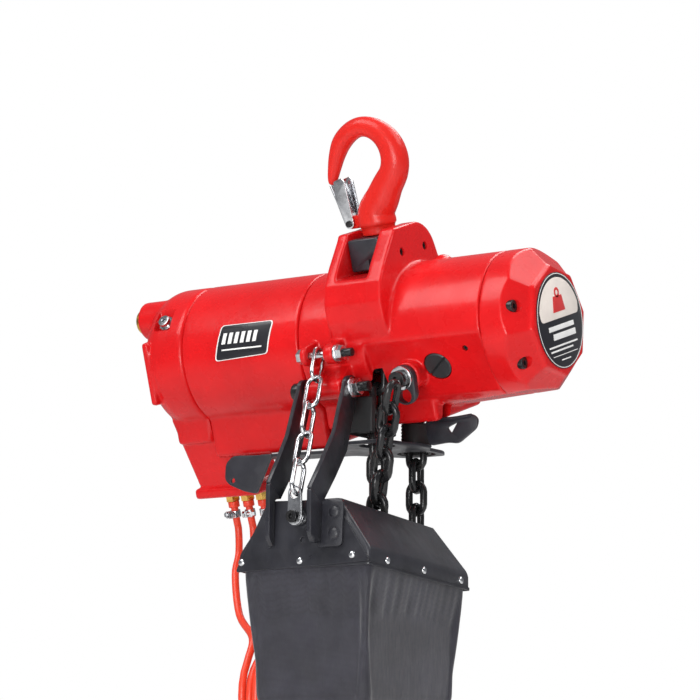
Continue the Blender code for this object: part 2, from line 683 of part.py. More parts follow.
def make_sheave():
    """The chain wheel: rims either side of a groove, five pockets, and a hollow shaft."""
    profile = [
        (0.0395, 0.0070), (0.0395, 0.0125), (0.0115, 0.0125), (0.0115, 0.0262), (0.0055, 0.0262),
        (0.0035, 0.0185), (-0.0035, 0.0185), (-0.0055, 0.0262), (-0.0115, 0.0262), (-0.0115, 0.0125),
        (-0.0385, 0.0125), (-0.0385, 0.0070),
    ]
    wheel = turned("load_sheave", profile, BODY, "dark_steel", sides=20, ring=True)
    pockets = []
    for i in range(5):
        pocket = box(f"cut_pocket_{i}", (-0.0135, -0.0150, 0.0248), (0.0135, 0.0150, 0.04), BODY, None,
                     rotation=(math.radians(72 * i + 54) - TILT, 0, 0))
        pockets.append(pocket)
    return cut(wheel, *pockets)


def make_gears():
    turn = (0, 0, 0)
    carrier = ring("planet_carrier", 0.0355, 0.0128, 0.0340, 0.0395, turn, BODY, "steel", sides=30)
    pins = []
    for i in range(3):
        angle = math.radians(120 * i)
        y, z = R_PLANETS * math.cos(angle), R_PLANETS * math.sin(angle)
        pins.append(rod(f"add_planet_pin_{i}", 0.0045, 0.036, 0.0655, (0, y, z), BODY, None, "x", 14))
        planet = gear(f"planet_gear_{i + 1}", PLANET_TEETH, MODULE, GEAR_WIDTH, (0, 0, 0), BODY, "steel",
                      0.0049, math.pi / PLANET_TEETH + angle)
        planet.location = (GEAR_X + GEAR_WIDTH / 2 - 0.0005, y, z)
    join(carrier, *pins)
    ring_gear(
        "ring_gear", RING_TEETH, MODULE, 0.0488, GEAR_WIDTH, (GEAR_X + GEAR_WIDTH / 2, 0, 0), BODY,
        "steel",
    )
    for name, x in (("sheave_bearing_left", -0.0355), ("sheave_bearing_right", 0.0200)):
        ring(name, 0.0200, 0.0128, x, x + 0.009, turn, BODY, "steel", sides=24)


def make_motor():
    shaft = turned(
        "motor_rotor",
        [
            (0.066, 0), (0.066, 0.0050), (-0.076, 0.0050), (-0.076, 0.0300), (-0.164, 0.0300),
            (-0.164, 0.0075), (-0.176, 0.0075), (-0.176, 0),
        ],
        BODY, "steel", sides=24,
    )
    sun = gear("add_sun", SUN_TEETH, MODULE, GEAR_WIDTH, (GEAR_X + GEAR_WIDTH / 2, 0, 0), BODY, None, 0.004)
    join(shaft, sun)
    slots = [
        box(f"cut_vane_slot_{i}", (-0.17, -0.0013, 0.012), (-0.07, 0.0013, 0.05), BODY, None,
            rotation=(math.tau * i / VANES, 0, 0))
        for i in range(VANES)
    ]
    cut(shaft, *slots)
    for i in range(VANES):
        box(f"rotor_vane_{i + 1}", (-0.1635, -0.0010, 0.0125), (-0.0765, 0.0010, 0.0315), BODY, "plastic",
            rotation=(math.tau * i / VANES, 0, 0))
    liner = rod("motor_liner", 0.0492, -0.1645, -0.0755, (0, 0, 0), BODY, "steel", "x", 28)
    bore = rod("cut_liner_bore", 0.0355, -0.2, 0, (0, 0, 0.0035), BODY, None, "x", 24)
    cut(liner, bore)
    ring("motor_end_plate_right", 0.0490, 0.0056, -0.0750, -0.0620, (0, 0, 0), BODY, "bronze", sides=20)
    ring("motor_end_plate_left", 0.0490, 0.0081, -0.1775, -0.1650, (0, 0, 0), BODY, "bronze", sides=20)


# ---------------------------------------------------------------- chains and the bag


WIDE_X, WIDE_Y = (1, 0, 0), (0, 1, 0)


def strand_places(top, bottom, x, y, wides):
    """Link centres of a plumb strand, from top to bottom."""
    count = int(round((top - bottom) / CHAIN_PITCH)) + 1
    return [((x, y, top - i * CHAIN_PITCH), (0, 0, 1), wides[i % 2]) for i in range(count)]


def wrapped_places():
    """Links over the top of the sheave, between the two strands."""
    places = []
    step = 180 / 5
    for i in range(6):
        angle = math.radians(i * step)
        centre = (0, -R_SHEAVE * math.cos(angle), R_SHEAVE * math.sin(angle))
        along = (0, math.sin(angle), math.cos(angle))
        radial_way = (0, -math.cos(angle), math.sin(angle))
        places.append((centre, along, radial_way if i % 2 else WIDE_X))
    return places


SLACK_END = -0.190


def make_load_chain():
    over = wrapped_places()
    slack = strand_places(-CHAIN_PITCH, SLACK_END, 0, -R_SHEAVE, (WIDE_Y, WIDE_X))
    load = strand_places(-CHAIN_PITCH, STRAND_END, 0, R_SHEAVE, (WIDE_X, WIDE_Y))
    places = list(reversed(slack)) + over + load
    chain("load_chain", places, CHAIN_PITCH - BITE, CHAIN_WIRE, CHAIN_WIDTH, PLUMB, "dark_steel")


ANCHOR_PATH = [
    (0.042, -0.0755, -0.0640), (0.030, -0.0660, -0.095), (0.012, -0.052, -0.160),
    (0.0095, -0.050, -0.182),
]


def along_path(points, pitch, wides, count):
    """Link centres a pitch apart along a smooth line through points."""
    line = smooth(points, 24)
    walked, places, goal = 0.0, [], 0.0
    for a, b in zip(line, line[1:]):
        step = (b - a).length
        while walked + step >= goal and len(places) < count:
            where = a + (b - a) * ((goal - walked) / step)
            places.append((tuple(where), tuple(b - a), wides[len(places) % 2]))
            goal += pitch
        walked += step
    return places


def make_anchor():
    """The bolted yoke that holds the dead end of the chain, and the chain that runs from it to the bag."""
    outline = arc(0.0105, 0, 180, 8) + arc(0.0105, 180, 360, 8, 0, -0.012)
    yoke = plate(
        "anchor_yoke", outline, 0.0068, BODY, "black_paint", (ANCHOR_X, -0.0677, ANCHOR_Z),
        (math.pi / 2, 0, 0), [(0, 0, 0.0048)],
    )
    eye = rod(
        "cut_anchor_eye", 0.0062, -0.02, 0.02, (ANCHOR_X, -0.0677, ANCHOR_Z - 0.0150), BODY, None, "y",
        14,
    )
    cut(yoke, eye)
    screw = turned(
        "anchor_bolt",
        [
            (0.0200, 0), (0.0200, 0.0043), (-0.0001, 0.0043), (-0.0001, 0.0072), (-0.0075, 0.0072),
            (-0.0075, 0),
        ],
        BODY, "dark_steel", (ANCHOR_X, -0.0735, ANCHOR_Z), "y", 18,
    )
    cut(
        screw,
        rod(
            "cut_anchor_socket", 0.0035, -0.02, -0.0035, (ANCHOR_X, -0.0735, ANCHOR_Z), BODY, None, "y",
            6,
        ),
    )
    places = along_path(ANCHOR_PATH, CHAIN_PITCH, (WIDE_Y, WIDE_X), 7)
    chain("anchor_chain", places, CHAIN_PITCH - BITE, CHAIN_WIRE, CHAIN_WIDTH, PLUMB, "dark_steel")


# Hood of the bag, from the barrel axis in the plumb frame
HOOD_X, HOOD_FRONT, HOOD_BACK = 0.0625, -0.140, 0.013
HOOD_LOW, HOOD_BAND, HOOD_TOP = -0.216, -0.199, -0.151
MOUTH_X, MOUTH_FRONT, MOUTH_BACK = 0.033, -0.137, 0.006
BAG_LOW = -0.322


def rectangle_loop(shape, x, front, back, z):
    corners = [(-x, front, z), (x, front, z), (x, back, z), (-x, back, z)]
    points = [shape.verts.new(corner) for corner in corners]
    return points


def lofted(name, loops, frame, finish, thickness, closed_bottom=False):
    """A thin four-sided shell through rectangles (half width, front, back, height), top first."""
    shape = bmesh.new()
    rows = [rectangle_loop(shape, *loop) for loop in loops]
    for upper, lower in zip(rows, rows[1:]):
        for i in range(4):
            j = (i + 1) % 4
            shape.faces.new((upper[i], lower[i], lower[j], upper[j]))
    if closed_bottom:
        shape.faces.new(list(reversed(rows[-1])))
    bmesh.ops.recalc_face_normals(shape, faces=shape.faces)
    obj = from_bmesh(name, shape, frame, finish)
    shell = obj.modifiers.new("wall", "SOLIDIFY")
    shell.thickness, shell.offset, shell.use_even_offset = thickness, -1, True
    return obj


def make_bag():
    hood = lofted(
        "bag_hood",
        [
            (MOUTH_X, MOUTH_FRONT, MOUTH_BACK, HOOD_TOP), (HOOD_X, HOOD_FRONT, HOOD_BACK, HOOD_BAND),
            (HOOD_X, HOOD_FRONT, HOOD_BACK, HOOD_LOW),
        ],
        PLUMB, "black_paint", 0.0016,
    )
    inset = 0.0022
    lofted(
        "chain_bag",
        [
            (HOOD_X - inset, HOOD_FRONT + inset, HOOD_BACK - inset, HOOD_LOW + 0.012),
            (HOOD_X - inset, HOOD_FRONT + inset, HOOD_BACK - inset, HOOD_LOW - 0.006),
            (HOOD_X - 0.004, HOOD_FRONT + 0.004, HOOD_BACK - 0.004, BAG_LOW + 0.030),
            (HOOD_X - 0.012, HOOD_FRONT + 0.012, HOOD_BACK - 0.012, BAG_LOW),
        ],
        PLUMB, "fabric", 0.0020, closed_bottom=True,
    )
    pile = bmesh.new()
    bmesh.ops.create_uvsphere(pile, u_segments=12, v_segments=7, radius=1)
    for vertex in pile.verts:
        vertex.co = Vector((vertex.co.x * 0.046, vertex.co.y * 0.056 - 0.063, vertex.co.z * 0.044 - 0.2700))
        vertex.co.z = min(vertex.co.z, -0.243)
    bmesh.ops.recalc_face_normals(pile, faces=pile.faces)
    from_bmesh("chain_pile", pile, PLUMB, "dark_steel")
    return hood


ARM_THICK = 0.004
FRONT_LEAN = -math.atan((MOUTH_FRONT - HOOD_FRONT) / (HOOD_TOP - HOOD_BAND))  # slope of the hood's front plate


def make_arms():
    """Two flat bars from the bracket pin to the hood's front plate, each with a foot riveted to the plate."""
    for name, x_top, x_low, side in (("bag_arm_left", -0.0520, -0.0290, -1), ("bag_arm_right", -0.0070, 0.0170, 1)):
        points = [(BAG_PIN[0], BAG_PIN[1]), (-0.098, -0.100), (-0.1545, -0.1535)]
        shape = bmesh.new()
        rows = []
        for (y, z), x, half in zip(points, (x_top, (x_top * 0.45 + x_low * 0.55), x_low), (0.0095, 0.0115, 0.0100)):
            across = Vector((0, -0.78, 0.62)) * half
            for offset in (-ARM_THICK / 2, ARM_THICK / 2):
                rows.append([
                    shape.verts.new((x + offset, y - across.y, z - across.z)),
                    shape.verts.new((x + offset, y + across.y, z + across.z)),
                ])
        shape.verts.ensure_lookup_table()
        for i in (0, 2):
            a, b, c, d = rows[i], rows[i + 1], rows[i + 2], rows[i + 3]
            shape.faces.new((a[0], a[1], c[1], c[0]))
            shape.faces.new((b[1], b[0], d[0], d[1]))
            shape.faces.new((a[1], b[1], d[1], c[1]))
            shape.faces.new((b[0], a[0], c[0], d[0]))
        shape.faces.new((rows[0][0], rows[1][0], rows[1][1], rows[0][1]))
        shape.faces.new((rows[4][1], rows[5][1], rows[5][0], rows[4][0]))
        bmesh.ops.recalc_face_normals(shape, faces=shape.faces)
        arm = from_bmesh(name, shape, PLUMB, "black_paint")
        eye = rod(
            f"add_eye_{name}", 0.0100, x_top - ARM_THICK / 2, x_top + ARM_THICK / 2, (0, *BAG_PIN), PLUMB,
            None, "x", 16,
        )
        foot_x = sorted((x_low - side * ARM_THICK / 2, x_low + side * 0.0215))
        web = box(
            f"add_web_{name}", (x_low - ARM_THICK / 2, -0.160, -0.176),
            (x_low + ARM_THICK / 2, -0.1406, -0.1440), PLUMB, None,
        )
        foot = box(
            f"add_foot_{name}", (foot_x[0], -0.1442, -0.190), (foot_x[1], -0.1402, -0.1530), PLUMB, None,
            rotation=(FRONT_LEAN, 0, 0), pivot=(0, HOOD_FRONT, -0.190),
        )
        join(arm, eye, web, foot)
        hole = rod(f"cut_eye_{name}", 0.0046, -0.1, 0.1, (0, *BAG_PIN), PLUMB, None, "x", 12)
        cut(arm, hole)


def make_bag_pin():
    pin = turned(
        "bag_pin",
        [
            (0.0120, 0), (0.0120, 0.0042), (-0.0545, 0.0042), (-0.0545, 0.0078), (-0.0610, 0.0078),
            (-0.0635, 0.0052), (-0.0635, 0),
        ],
        BODY, "dark_steel", (0, *BAG_PIN_BODY), "x", 16,
    )
    bolt(
        "stop_bolt", 0.0033, 0.0062, 0.0045, 0.0485, (-0.0463, *STOP_BOLT), BODY, "zinc",
        rotation=(0, -math.pi / 2, 0),
    )
    return pin


STOP_PLUMB = (
    STOP_BOLT[0] * math.cos(TILT) - STOP_BOLT[1] * math.sin(TILT),
    STOP_BOLT[0] * math.sin(TILT) + STOP_BOLT[1] * math.cos(TILT),
)
STRAP_BOLT, STRAP_LENGTH = (-0.003, -0.1440, -0.165), 0.019


def make_retaining_chain():
    """A short chain from the ears to the strap on the hood."""
    x, y, z = STRAP_BOLT
    bolt_centre = Vector((-0.0310, *STOP_PLUMB))
    hole = Vector((x, y - 0.0032, z + STRAP_LENGTH))
    along = (hole - bolt_centre).normalized()
    start = bolt_centre - along * (0.0033 + ZINC_WIRE / 2 + GAP)
    inner = ((hole - start).length - ZINC_WIRE + BITE) / 5
    first = start + along * (inner - BITE + ZINC_WIRE) / 2
    places = [(tuple(first + along * inner * i), tuple(along), (WIDE_Y, WIDE_X)[i % 2]) for i in range(5)]
    chain("retaining_chain", places, inner - BITE, ZINC_WIRE, 0.0168, PLUMB, "zinc")
    strap = plate(
        "chain_strap", arc(0.0062, 0, 180, 6, 0, STRAP_LENGTH) + arc(0.0062, 180, 360, 6), 0.002, PLUMB,
        "zinc", (x, y - 0.0032, z), (math.pi / 2, 0, 0), [(0, 0, 0.0034), (0, STRAP_LENGTH, 0.0044)],
    )
    return strap


# ---------------------------------------------------------------- limit lever, bumper, load block

LEVER_X, LEVER_Z = -0.035, -0.0635  # the lever's shaft, body frame
LEVER_BAR_Z = -0.0945  # the bar's middle, plumb frame


def make_lever():
    """A flat bar under the body with a loop round each chain strand, a wing at each end and a hanger to its shaft."""
    loops = [(0, R_SHEAVE, 0.0165), (0, -R_SHEAVE, 0.0150)]
    outline = [
        (-0.118, -0.012), (-0.060, -0.014), (-0.030, -0.052), (0.018, -0.052), (0.026, -0.030),
        (0.056, -0.006), (0.070, 0.004), (0.060, 0.030), (0.030, 0.034), (0.018, 0.052), (-0.018, 0.052),
        (-0.050, 0.012), (-0.118, 0.008),
    ]
    bar = plate("limit_lever", outline, 0.003, PLUMB, "black_paint", (0, 0, LEVER_BAR_Z), (0, 0, 0), loops)
    wing = plate(
        "add_left_wing",
        [(-0.164, 0.002)] + [
            (-0.1635, -0.028), (-0.158, -0.0335), (-0.131, -0.0335), (-0.126, -0.028), (-0.116, 0.0015),
        ],
        0.003, PLUMB, None, (0, -0.010, LEVER_BAR_Z), (math.pi / 2, 0, 0), [(-0.156, -0.018, 0.0022)],
    )
    right = plate(
        "add_right_wing", [(0.050, 0.002), (0.082, 0.018), (0.088, 0.012), (0.076, -0.012), (0.052, -0.010)],
        0.003, PLUMB, None, (0, 0.004, LEVER_BAR_Z), (math.pi / 2, 0, 0), [(0.068, 0.002, 0.0045)],
    )
    hanger = box("add_hanger", (-0.043, -0.0065, -0.107), (-0.027, 0.0065, -0.0600), BODY, None, 0.001)
    join(bar, wing, right, hanger)
    bore = rod("cut_hanger_bore", 0.0034, -0.03, 0.03, (LEVER_X, 0, LEVER_Z), BODY, None, "y", 12)
    cut(bar, bore)
    rod("limit_shaft", 0.0031, -0.024, 0.024, (LEVER_X, 0, LEVER_Z), BODY, "dark_steel", "y", 12)
    bumper = ring("rubber_bumper", 0.0126, 0.0111, -0.095, -0.071, (0, R_SHEAVE, 0), PLUMB, "rubber", "z", 16)
    return bumper


def make_load_block():
    """Two-part block that grips the last link, with the load hook swivelling under it."""
    y = R_SHEAVE
    top, low = STRAND_END + 0.0185, STRAND_END - 0.034
    block = turned(
        "load_block",
        [(top, 0), (top, 0.0155), (top - 0.012, 0.0185), (low + 0.006, 0.0185), (low, 0.0165), (low, 0)],
        PLUMB, "black_paint", (0, y, 0), "z", 20,
    )
    slot_x = box(
        "cut_block_link_a", (-0.0115, y - 0.0044, STRAND_END - 0.0159), (0.0115, y + 0.0044, 0), PLUMB,
        None,
    )
    slot_y = box(
        "cut_block_link_b", (-0.0044, y - 0.0115, STRAND_END - 0.0159), (0.0044, y + 0.0115, 0), PLUMB,
        None,
    )
    shank = rod(
        "cut_block_shank", 0.0082, STRAND_END - 0.06, STRAND_END - 0.0175, (0, y, 0), PLUMB, None, "z",
        16,
    )
    nut_room = box(
        "cut_block_nut", (-0.03, y - 0.0118, STRAND_END - 0.0285),
        (0.03, y + 0.0118, STRAND_END - 0.0172), PLUMB, None,
    )
    cut(block, slot_x, slot_y, shank, nut_room)
    nut("load_hook_nut", 0.0228, 0.0084, STRAND_END - 0.0278, STRAND_END - 0.0180, (0, y, 0), PLUMB, "steel")
    base = (0, y, low - 0.0008)
    make_hook("load_hook", PLUMB, "hook_paint", base, -1, 0.9, 0.0155)
    make_latch("load_latch", PLUMB, base, -1)


# ---------------------------------------------------------------- hoses and pendant


def fitting_base(i):
    """Where hose i leaves its barb, plumb frame."""
    drop = -(LEG_LOW - 0.009) + 0.026
    return Vector((HOSE_X[i], drop * math.sin(TILT), -drop * math.cos(TILT)))


def hose_drop_points(i):
    start = fitting_base(i)
    lean = Vector((0, math.sin(TILT), -math.cos(TILT)))
    enter = Vector((COIL_X[i], COIL_CENTRE_Y - COIL_R, COIL_CENTRE_Z))
    return [
        start, start + lean * 0.010, start + Vector((0.001, 0.004, -0.030)),
        Vector((start.x * 0.96 + enter.x * 0.04, start.y * 0.86 + enter.y * 0.14, -0.190)),
        Vector((start.x * 0.70 + enter.x * 0.30, start.y * 0.55 + enter.y * 0.45, -0.226)),
        Vector((enter.x - 0.003, 0.0045, -0.2480)),
        Vector((enter.x, -0.0052, -0.2683)),
    ]


def make_hoses():
    for i in range(3):
        centre = (HOSE_X[i], 0, LEG_LOW - 0.009 - GAP)
        turned(
            f"hose_fitting_{i + 1}",
            [
                (0.010, 0.0016), (0.010, 0.0039), (0, 0.0039), (0, 0.0062), (-0.008, 0.0062),
                (-0.008, 0.0026), (-0.014, 0.0026), (-0.014, 0.0016),
            ],
            BODY, "brass", centre, "z", 6, ring=True,
        )
        tube(f"hose_drop_{i + 1}", smooth(hose_drop_points(i), 3), HOSE_OD / 2, PLUMB, "hose")
    coil = turned(
        "hose_coil",
        [
            (COIL_HALF_LENGTH, COIL_R - COIL_HALF), (COIL_HALF_LENGTH, COIL_R + COIL_HALF),
            (-COIL_HALF_LENGTH, COIL_R + COIL_HALF), (-COIL_HALF_LENGTH, COIL_R - COIL_HALF),
        ],
        PLUMB, "hose", (COIL_X[1], COIL_CENTRE_Y, COIL_CENTRE_Z), "x", 24, ring=True,
    )
    return coil


def make_pendant():
    """The control handle: a rounded body with three hose nipples and two sprung levers on its front."""
    x, y = COIL_X[1], COIL_CENTRE_Y - COIL_R - COIL_HALF
    low = PENDANT_Z - 0.118
    body = box(
        "pendant_body", (x - 0.021, y - 0.014, low), (x + 0.021, y + 0.014, PENDANT_Z), PLUMB, "plastic",
        0.004,
    )
    nipples = [
        rod(f"add_nipple_{i}", 0.0024, PENDANT_Z - 0.001, PENDANT_Z + 0.012, (x_hose, y, 0), PLUMB, None, "z", 10)
        for i, x_hose in enumerate(COIL_X)
    ]
    join(body, *nipples)
    for name, top in (("pendant_lever_up", PENDANT_Z - 0.018), ("pendant_lever_down", PENDANT_Z - 0.066)):
        recess = box(
            f"cut_{name}", (x - 0.0125, y - 0.02, top - 0.040), (x + 0.0125, y - 0.008, top), PLUMB, None,
        )
        cut(body, recess)
        paddle = box(
            name, (x - 0.0115, y - 0.0185, top - 0.0385), (x + 0.0115, y - 0.0125, top - 0.0015), PLUMB,
            "button", 0.0015,
        )
        hinge = rod(
            f"add_hinge_{name}", 0.0025, x - 0.0110, x + 0.0110, (0, y - 0.0110, top - 0.0050), PLUMB,
            None, "x", 10,
        )
        join(paddle, hinge)


if __name__ == "__main__":
    make_centre_body()
    make_motor_housing()
    make_manifold_cover()
    make_end_cap()
    make_oil_plug()
    make_inlet()
    make_suspension()
    make_sheave()
    make_gears()
    make_motor()
    make_load_chain()
    make_anchor()
    make_bag()
    make_arms()
    make_bag_pin()
    make_retaining_chain()
    make_lever()
    make_load_block()
    make_hoses()
    make_pendant()
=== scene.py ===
"""Looks of the chain hoist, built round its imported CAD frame.

Metres, +Z up, origin at the seat of the top hook. Two frames have their origin on the barrel's axis:
BODY, tilted as the hoist hangs (X along the barrel, Z towards the hook), and PLUMB, for what hangs."""
import math
import random

import bmesh
import bpy
from mathutils import Matrix, Vector


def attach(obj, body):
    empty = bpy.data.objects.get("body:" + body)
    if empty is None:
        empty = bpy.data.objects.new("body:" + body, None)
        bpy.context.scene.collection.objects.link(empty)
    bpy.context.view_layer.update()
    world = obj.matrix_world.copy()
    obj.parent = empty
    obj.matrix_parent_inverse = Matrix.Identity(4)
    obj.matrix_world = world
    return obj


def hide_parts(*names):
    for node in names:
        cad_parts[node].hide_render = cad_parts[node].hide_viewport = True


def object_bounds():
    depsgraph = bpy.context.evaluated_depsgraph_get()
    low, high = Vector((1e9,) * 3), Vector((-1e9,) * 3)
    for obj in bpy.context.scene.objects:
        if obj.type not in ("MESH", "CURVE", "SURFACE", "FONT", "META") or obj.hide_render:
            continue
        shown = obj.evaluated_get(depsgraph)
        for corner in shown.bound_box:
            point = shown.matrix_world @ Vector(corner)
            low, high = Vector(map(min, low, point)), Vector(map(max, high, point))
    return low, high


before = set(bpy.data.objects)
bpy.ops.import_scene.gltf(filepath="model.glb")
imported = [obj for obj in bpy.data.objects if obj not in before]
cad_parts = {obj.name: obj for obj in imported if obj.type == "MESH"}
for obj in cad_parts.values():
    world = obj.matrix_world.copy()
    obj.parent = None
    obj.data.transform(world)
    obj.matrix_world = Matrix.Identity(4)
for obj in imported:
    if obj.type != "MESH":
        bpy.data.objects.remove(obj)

CAD_LOW, CAD_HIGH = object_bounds()
SCENE = bpy.context.scene

# ---------------------------------------------------------------- sizes shared with the CAD model

TILT = math.radians(18)
SEAT = 0.1725
R_BODY = 0.062
X_COVER, X_MOTOR, X_JOINT, X_CAP, X_END = -0.228, -0.181, -0.060, 0.116, 0.1565
GAP = 0.0003
CHEST_Y, CHEST_Z = 0.0388, -0.084
FACET, FACET_TURN = 0.0555, 112  # distance from the axis, and degrees from up towards the front
CHAIN_WIRE, CHAIN_PITCH, CHAIN_WIDTH = 0.0063, 0.0191, 0.0212
R_SHEAVE = 0.0311
ZINC_WIRE = 0.0038
HOSE_OD = 0.0065
HOSE_X = (-0.197, -0.181, -0.165)
LEG_LOW = -0.112
COIL_X = (-0.1445, -0.130, -0.1155)
COIL_Y, COIL_Z = 0.040, -0.300
PENDANT_Z = -0.375
BAG_PIN = (-0.062, -0.050)
STOP_BOLT = (-0.0755, 0.001)
STRAND_END = -16 * CHAIN_PITCH
SLACK_END = -0.190
ANCHOR_X, ANCHOR_Z = 0.042, -0.0255
YOKE_BOLT_Y, YOKE_BOLT_Z = 0.019, 0.0735
HOOD_X, HOOD_FRONT, HOOD_BACK = 0.0625, -0.140, 0.013
HOOD_BAND, HOOD_TOP = -0.199, -0.151
MOUTH_X, MOUTH_FRONT, MOUTH_BACK = 0.033, -0.137, 0.006
BAG_LOW = -0.322
LEVER_X, LEVER_Z, BAR_Z = -0.035, -0.0635, -0.0945

BARREL = Vector((0, SEAT * math.sin(TILT), -SEAT * math.cos(TILT)))
PLUMB = Matrix.Translation(BARREL)
TILTED = Matrix.Rotation(TILT, 4, "X")
BODY = PLUMB @ TILTED
ALONG_X = Matrix.Rotation(math.pi / 2, 4, "Y")
ALONG_Y = Matrix.Rotation(-math.pi / 2, 4, "X")
UPRIGHT = Matrix.Rotation(math.pi / 2, 4, "X")  # an outline's XY plane turned to XZ, its +Z to the front
SIDEWAYS = Matrix.Rotation(math.pi / 2, 4, "Z") @ UPRIGHT  # an outline's XY plane turned to YZ


def at(x, y, z):
    return Matrix.Translation((x, y, z))


def to_body(y, z):
    """Plumb y, z turned into the tilted body's frame."""
    return (y * math.cos(TILT) + z * math.sin(TILT), -y * math.sin(TILT) + z * math.cos(TILT))


BAG_PIN_BODY = to_body(*BAG_PIN)


def radial(x, radius, angle):
    """Places a shape's +Z pointing out of the barrel, at an angle in degrees from up towards the front."""
    return at(x, 0, 0) @ Matrix.Rotation(math.radians(angle), 4, "X") @ at(0, 0, radius)


PLUG_AT = radial(0.066, 0, FACET_TURN)

# ---------------------------------------------------------------- shapes, as bmeshes


def work(shape, name="work"):
    """Puts the shape into the scene as an object; the shape goes."""
    mesh = bpy.data.meshes.new(name)
    shape.to_mesh(mesh)
    shape.free()
    obj = bpy.data.objects.new(name, mesh)
    SCENE.collection.objects.link(obj)
    return obj


def baked(obj):
    """The object's mesh with its modifiers, as a shape; the object goes."""
    bpy.context.view_layer.update()
    graph = bpy.context.evaluated_depsgraph_get()
    mesh = bpy.data.meshes.new_from_object(obj.evaluated_get(graph))
    shape = bmesh.new()
    shape.from_mesh(mesh)
    bpy.data.objects.remove(obj)
    bpy.data.meshes.remove(mesh)
    return shape


def moved(shape, matrix):
    shape.transform(matrix)
    return shape


def gather(*shapes):
    """All the shapes as one, without joining their surfaces."""
    whole = bmesh.new()
    for shape in shapes:
        mesh = bpy.data.meshes.new("part")
        shape.to_mesh(mesh)
        shape.free()
        whole.from_mesh(mesh)
        bpy.data.meshes.remove(mesh)
    return whole


def boolean(shape, tools, operation="DIFFERENCE"):
    """The shape cut by the tools, or with another operation; both go."""
    target = work(shape)
    helpers = [work(tool) for tool in tools]
    for helper in helpers:
        change = target.modifiers.new("boolean", "BOOLEAN")
        change.operation, change.object, change.solver = operation, helper, "EXACT"
    made = baked(target)
    for helper in helpers:
        bpy.data.objects.remove(helper)
    return made


def cast(shapes, voxel=0.0012, passes=8):
    """One casting from overlapping closed shapes, with its edges and inside corners softened."""
    target = work(gather(*shapes))
    skin = target.modifiers.new("skin", "REMESH")
    skin.mode, skin.voxel_size = "VOXEL", voxel
    soften = target.modifiers.new("soften", "SMOOTH")
    soften.factor, soften.iterations = 0.5, passes
    return baked(target)


def bridge(shape, rows):
    """Joins each loop of vertices to the next one with quads."""
    for one, two in zip(rows, rows[1:]):
        for i in range(len(one)):
            j = (i + 1) % len(one)
            shape.faces.new((one[i], one[j], two[j], two[i]))


def rounded(points, radius, steps=3, closed=False):
    """The outline with its corners rounded."""
    made = []
    count = len(points)
    for i, point in enumerate(points):
        point = Vector(point)
        if not closed and i in (0, count - 1):
            made.append(tuple(point))
            continue
        before, after = Vector(points[i - 1]) - point, Vector(points[(i + 1) % count]) - point
        reach = min(radius, before.length * 0.45, after.length * 0.45)
        first, last = point + before.normalized() * reach, point + after.normalized() * reach
        for j in range(steps + 1):
            t = j / steps
            made.append(tuple(first * (1 - t) ** 2 + point * 2 * t * (1 - t) + last * t**2))
    return made


def lathe(profile, matrix=ALONG_X, sides=96, closed=False, soft=0.0):
    """A turned shape. profile is (along the axis, radius)."""
    if soft:
        profile = rounded(profile, soft, closed=closed)
    shape = bmesh.new()
    rows = []
    for along, radius in profile:
        if radius < 1e-7:
            rows.append([shape.verts.new((0, 0, along))])
            continue
        turns = [math.tau * i / sides for i in range(sides)]
        rows.append([shape.verts.new((radius * math.cos(a), radius * math.sin(a), along)) for a in turns])
    pairs = list(zip(rows, rows[1:])) + ([(rows[-1], rows[0])] if closed else [])
    for one, two in pairs:
        if len(one) == 1 and len(two) == 1:
            continue
        for i in range(sides):
            j = (i + 1) % sides
            corners = [one[i % len(one)], one[j % len(one)], two[j % len(two)], two[i % len(two)]]
            face = list(dict.fromkeys(corners))
            shape.faces.new(face)
    bmesh.ops.recalc_face_normals(shape, faces=shape.faces)
    return moved(shape, matrix)


def rod(radius, start, end, matrix=ALONG_X, sides=48, soft=0.0):
    profile = [(end, 0), (end, radius), (start, radius), (start, 0)]
    return lathe(profile, matrix, sides, soft=soft)


def ring(outer, inner, start, end, matrix=ALONG_X, sides=48, soft=0.0):
    profile = [(end, inner), (end, outer), (start, outer), (start, inner)]
    return lathe(profile, matrix, sides, True, soft)


def block(low, high, edge=0.0, steps=2, matrix=Matrix()):
    shape = bmesh.new()
    bmesh.ops.create_cube(shape, size=1)
    for vertex in shape.verts:
        vertex.co = Vector((h + l) / 2 + v * (h - l) for l, h, v in zip(low, high, vertex.co))
    if edge:
        bmesh.ops.bevel(shape, geom=shape.edges[:], offset=edge, segments=steps, profile=0.5, affect="EDGES")
    return moved(shape, matrix)


def rectangle(low_x, high_x, low_y, high_y):
    return [(low_x, low_y), (high_x, low_y), (high_x, high_y), (low_x, high_y)]


def circle(radius, count=32, x=0.0, y=0.0):
    turns = [math.tau * i / count for i in range(count)]
    return [(x + radius * math.cos(a), y + radius * math.sin(a)) for a in turns]


def arc(radius, first, last, count, x=0.0, y=0.0):
    turns = [math.radians(first + (last - first) * i / count) for i in range(count + 1)]
    return [(x + radius * math.cos(a), y + radius * math.sin(a)) for a in turns]


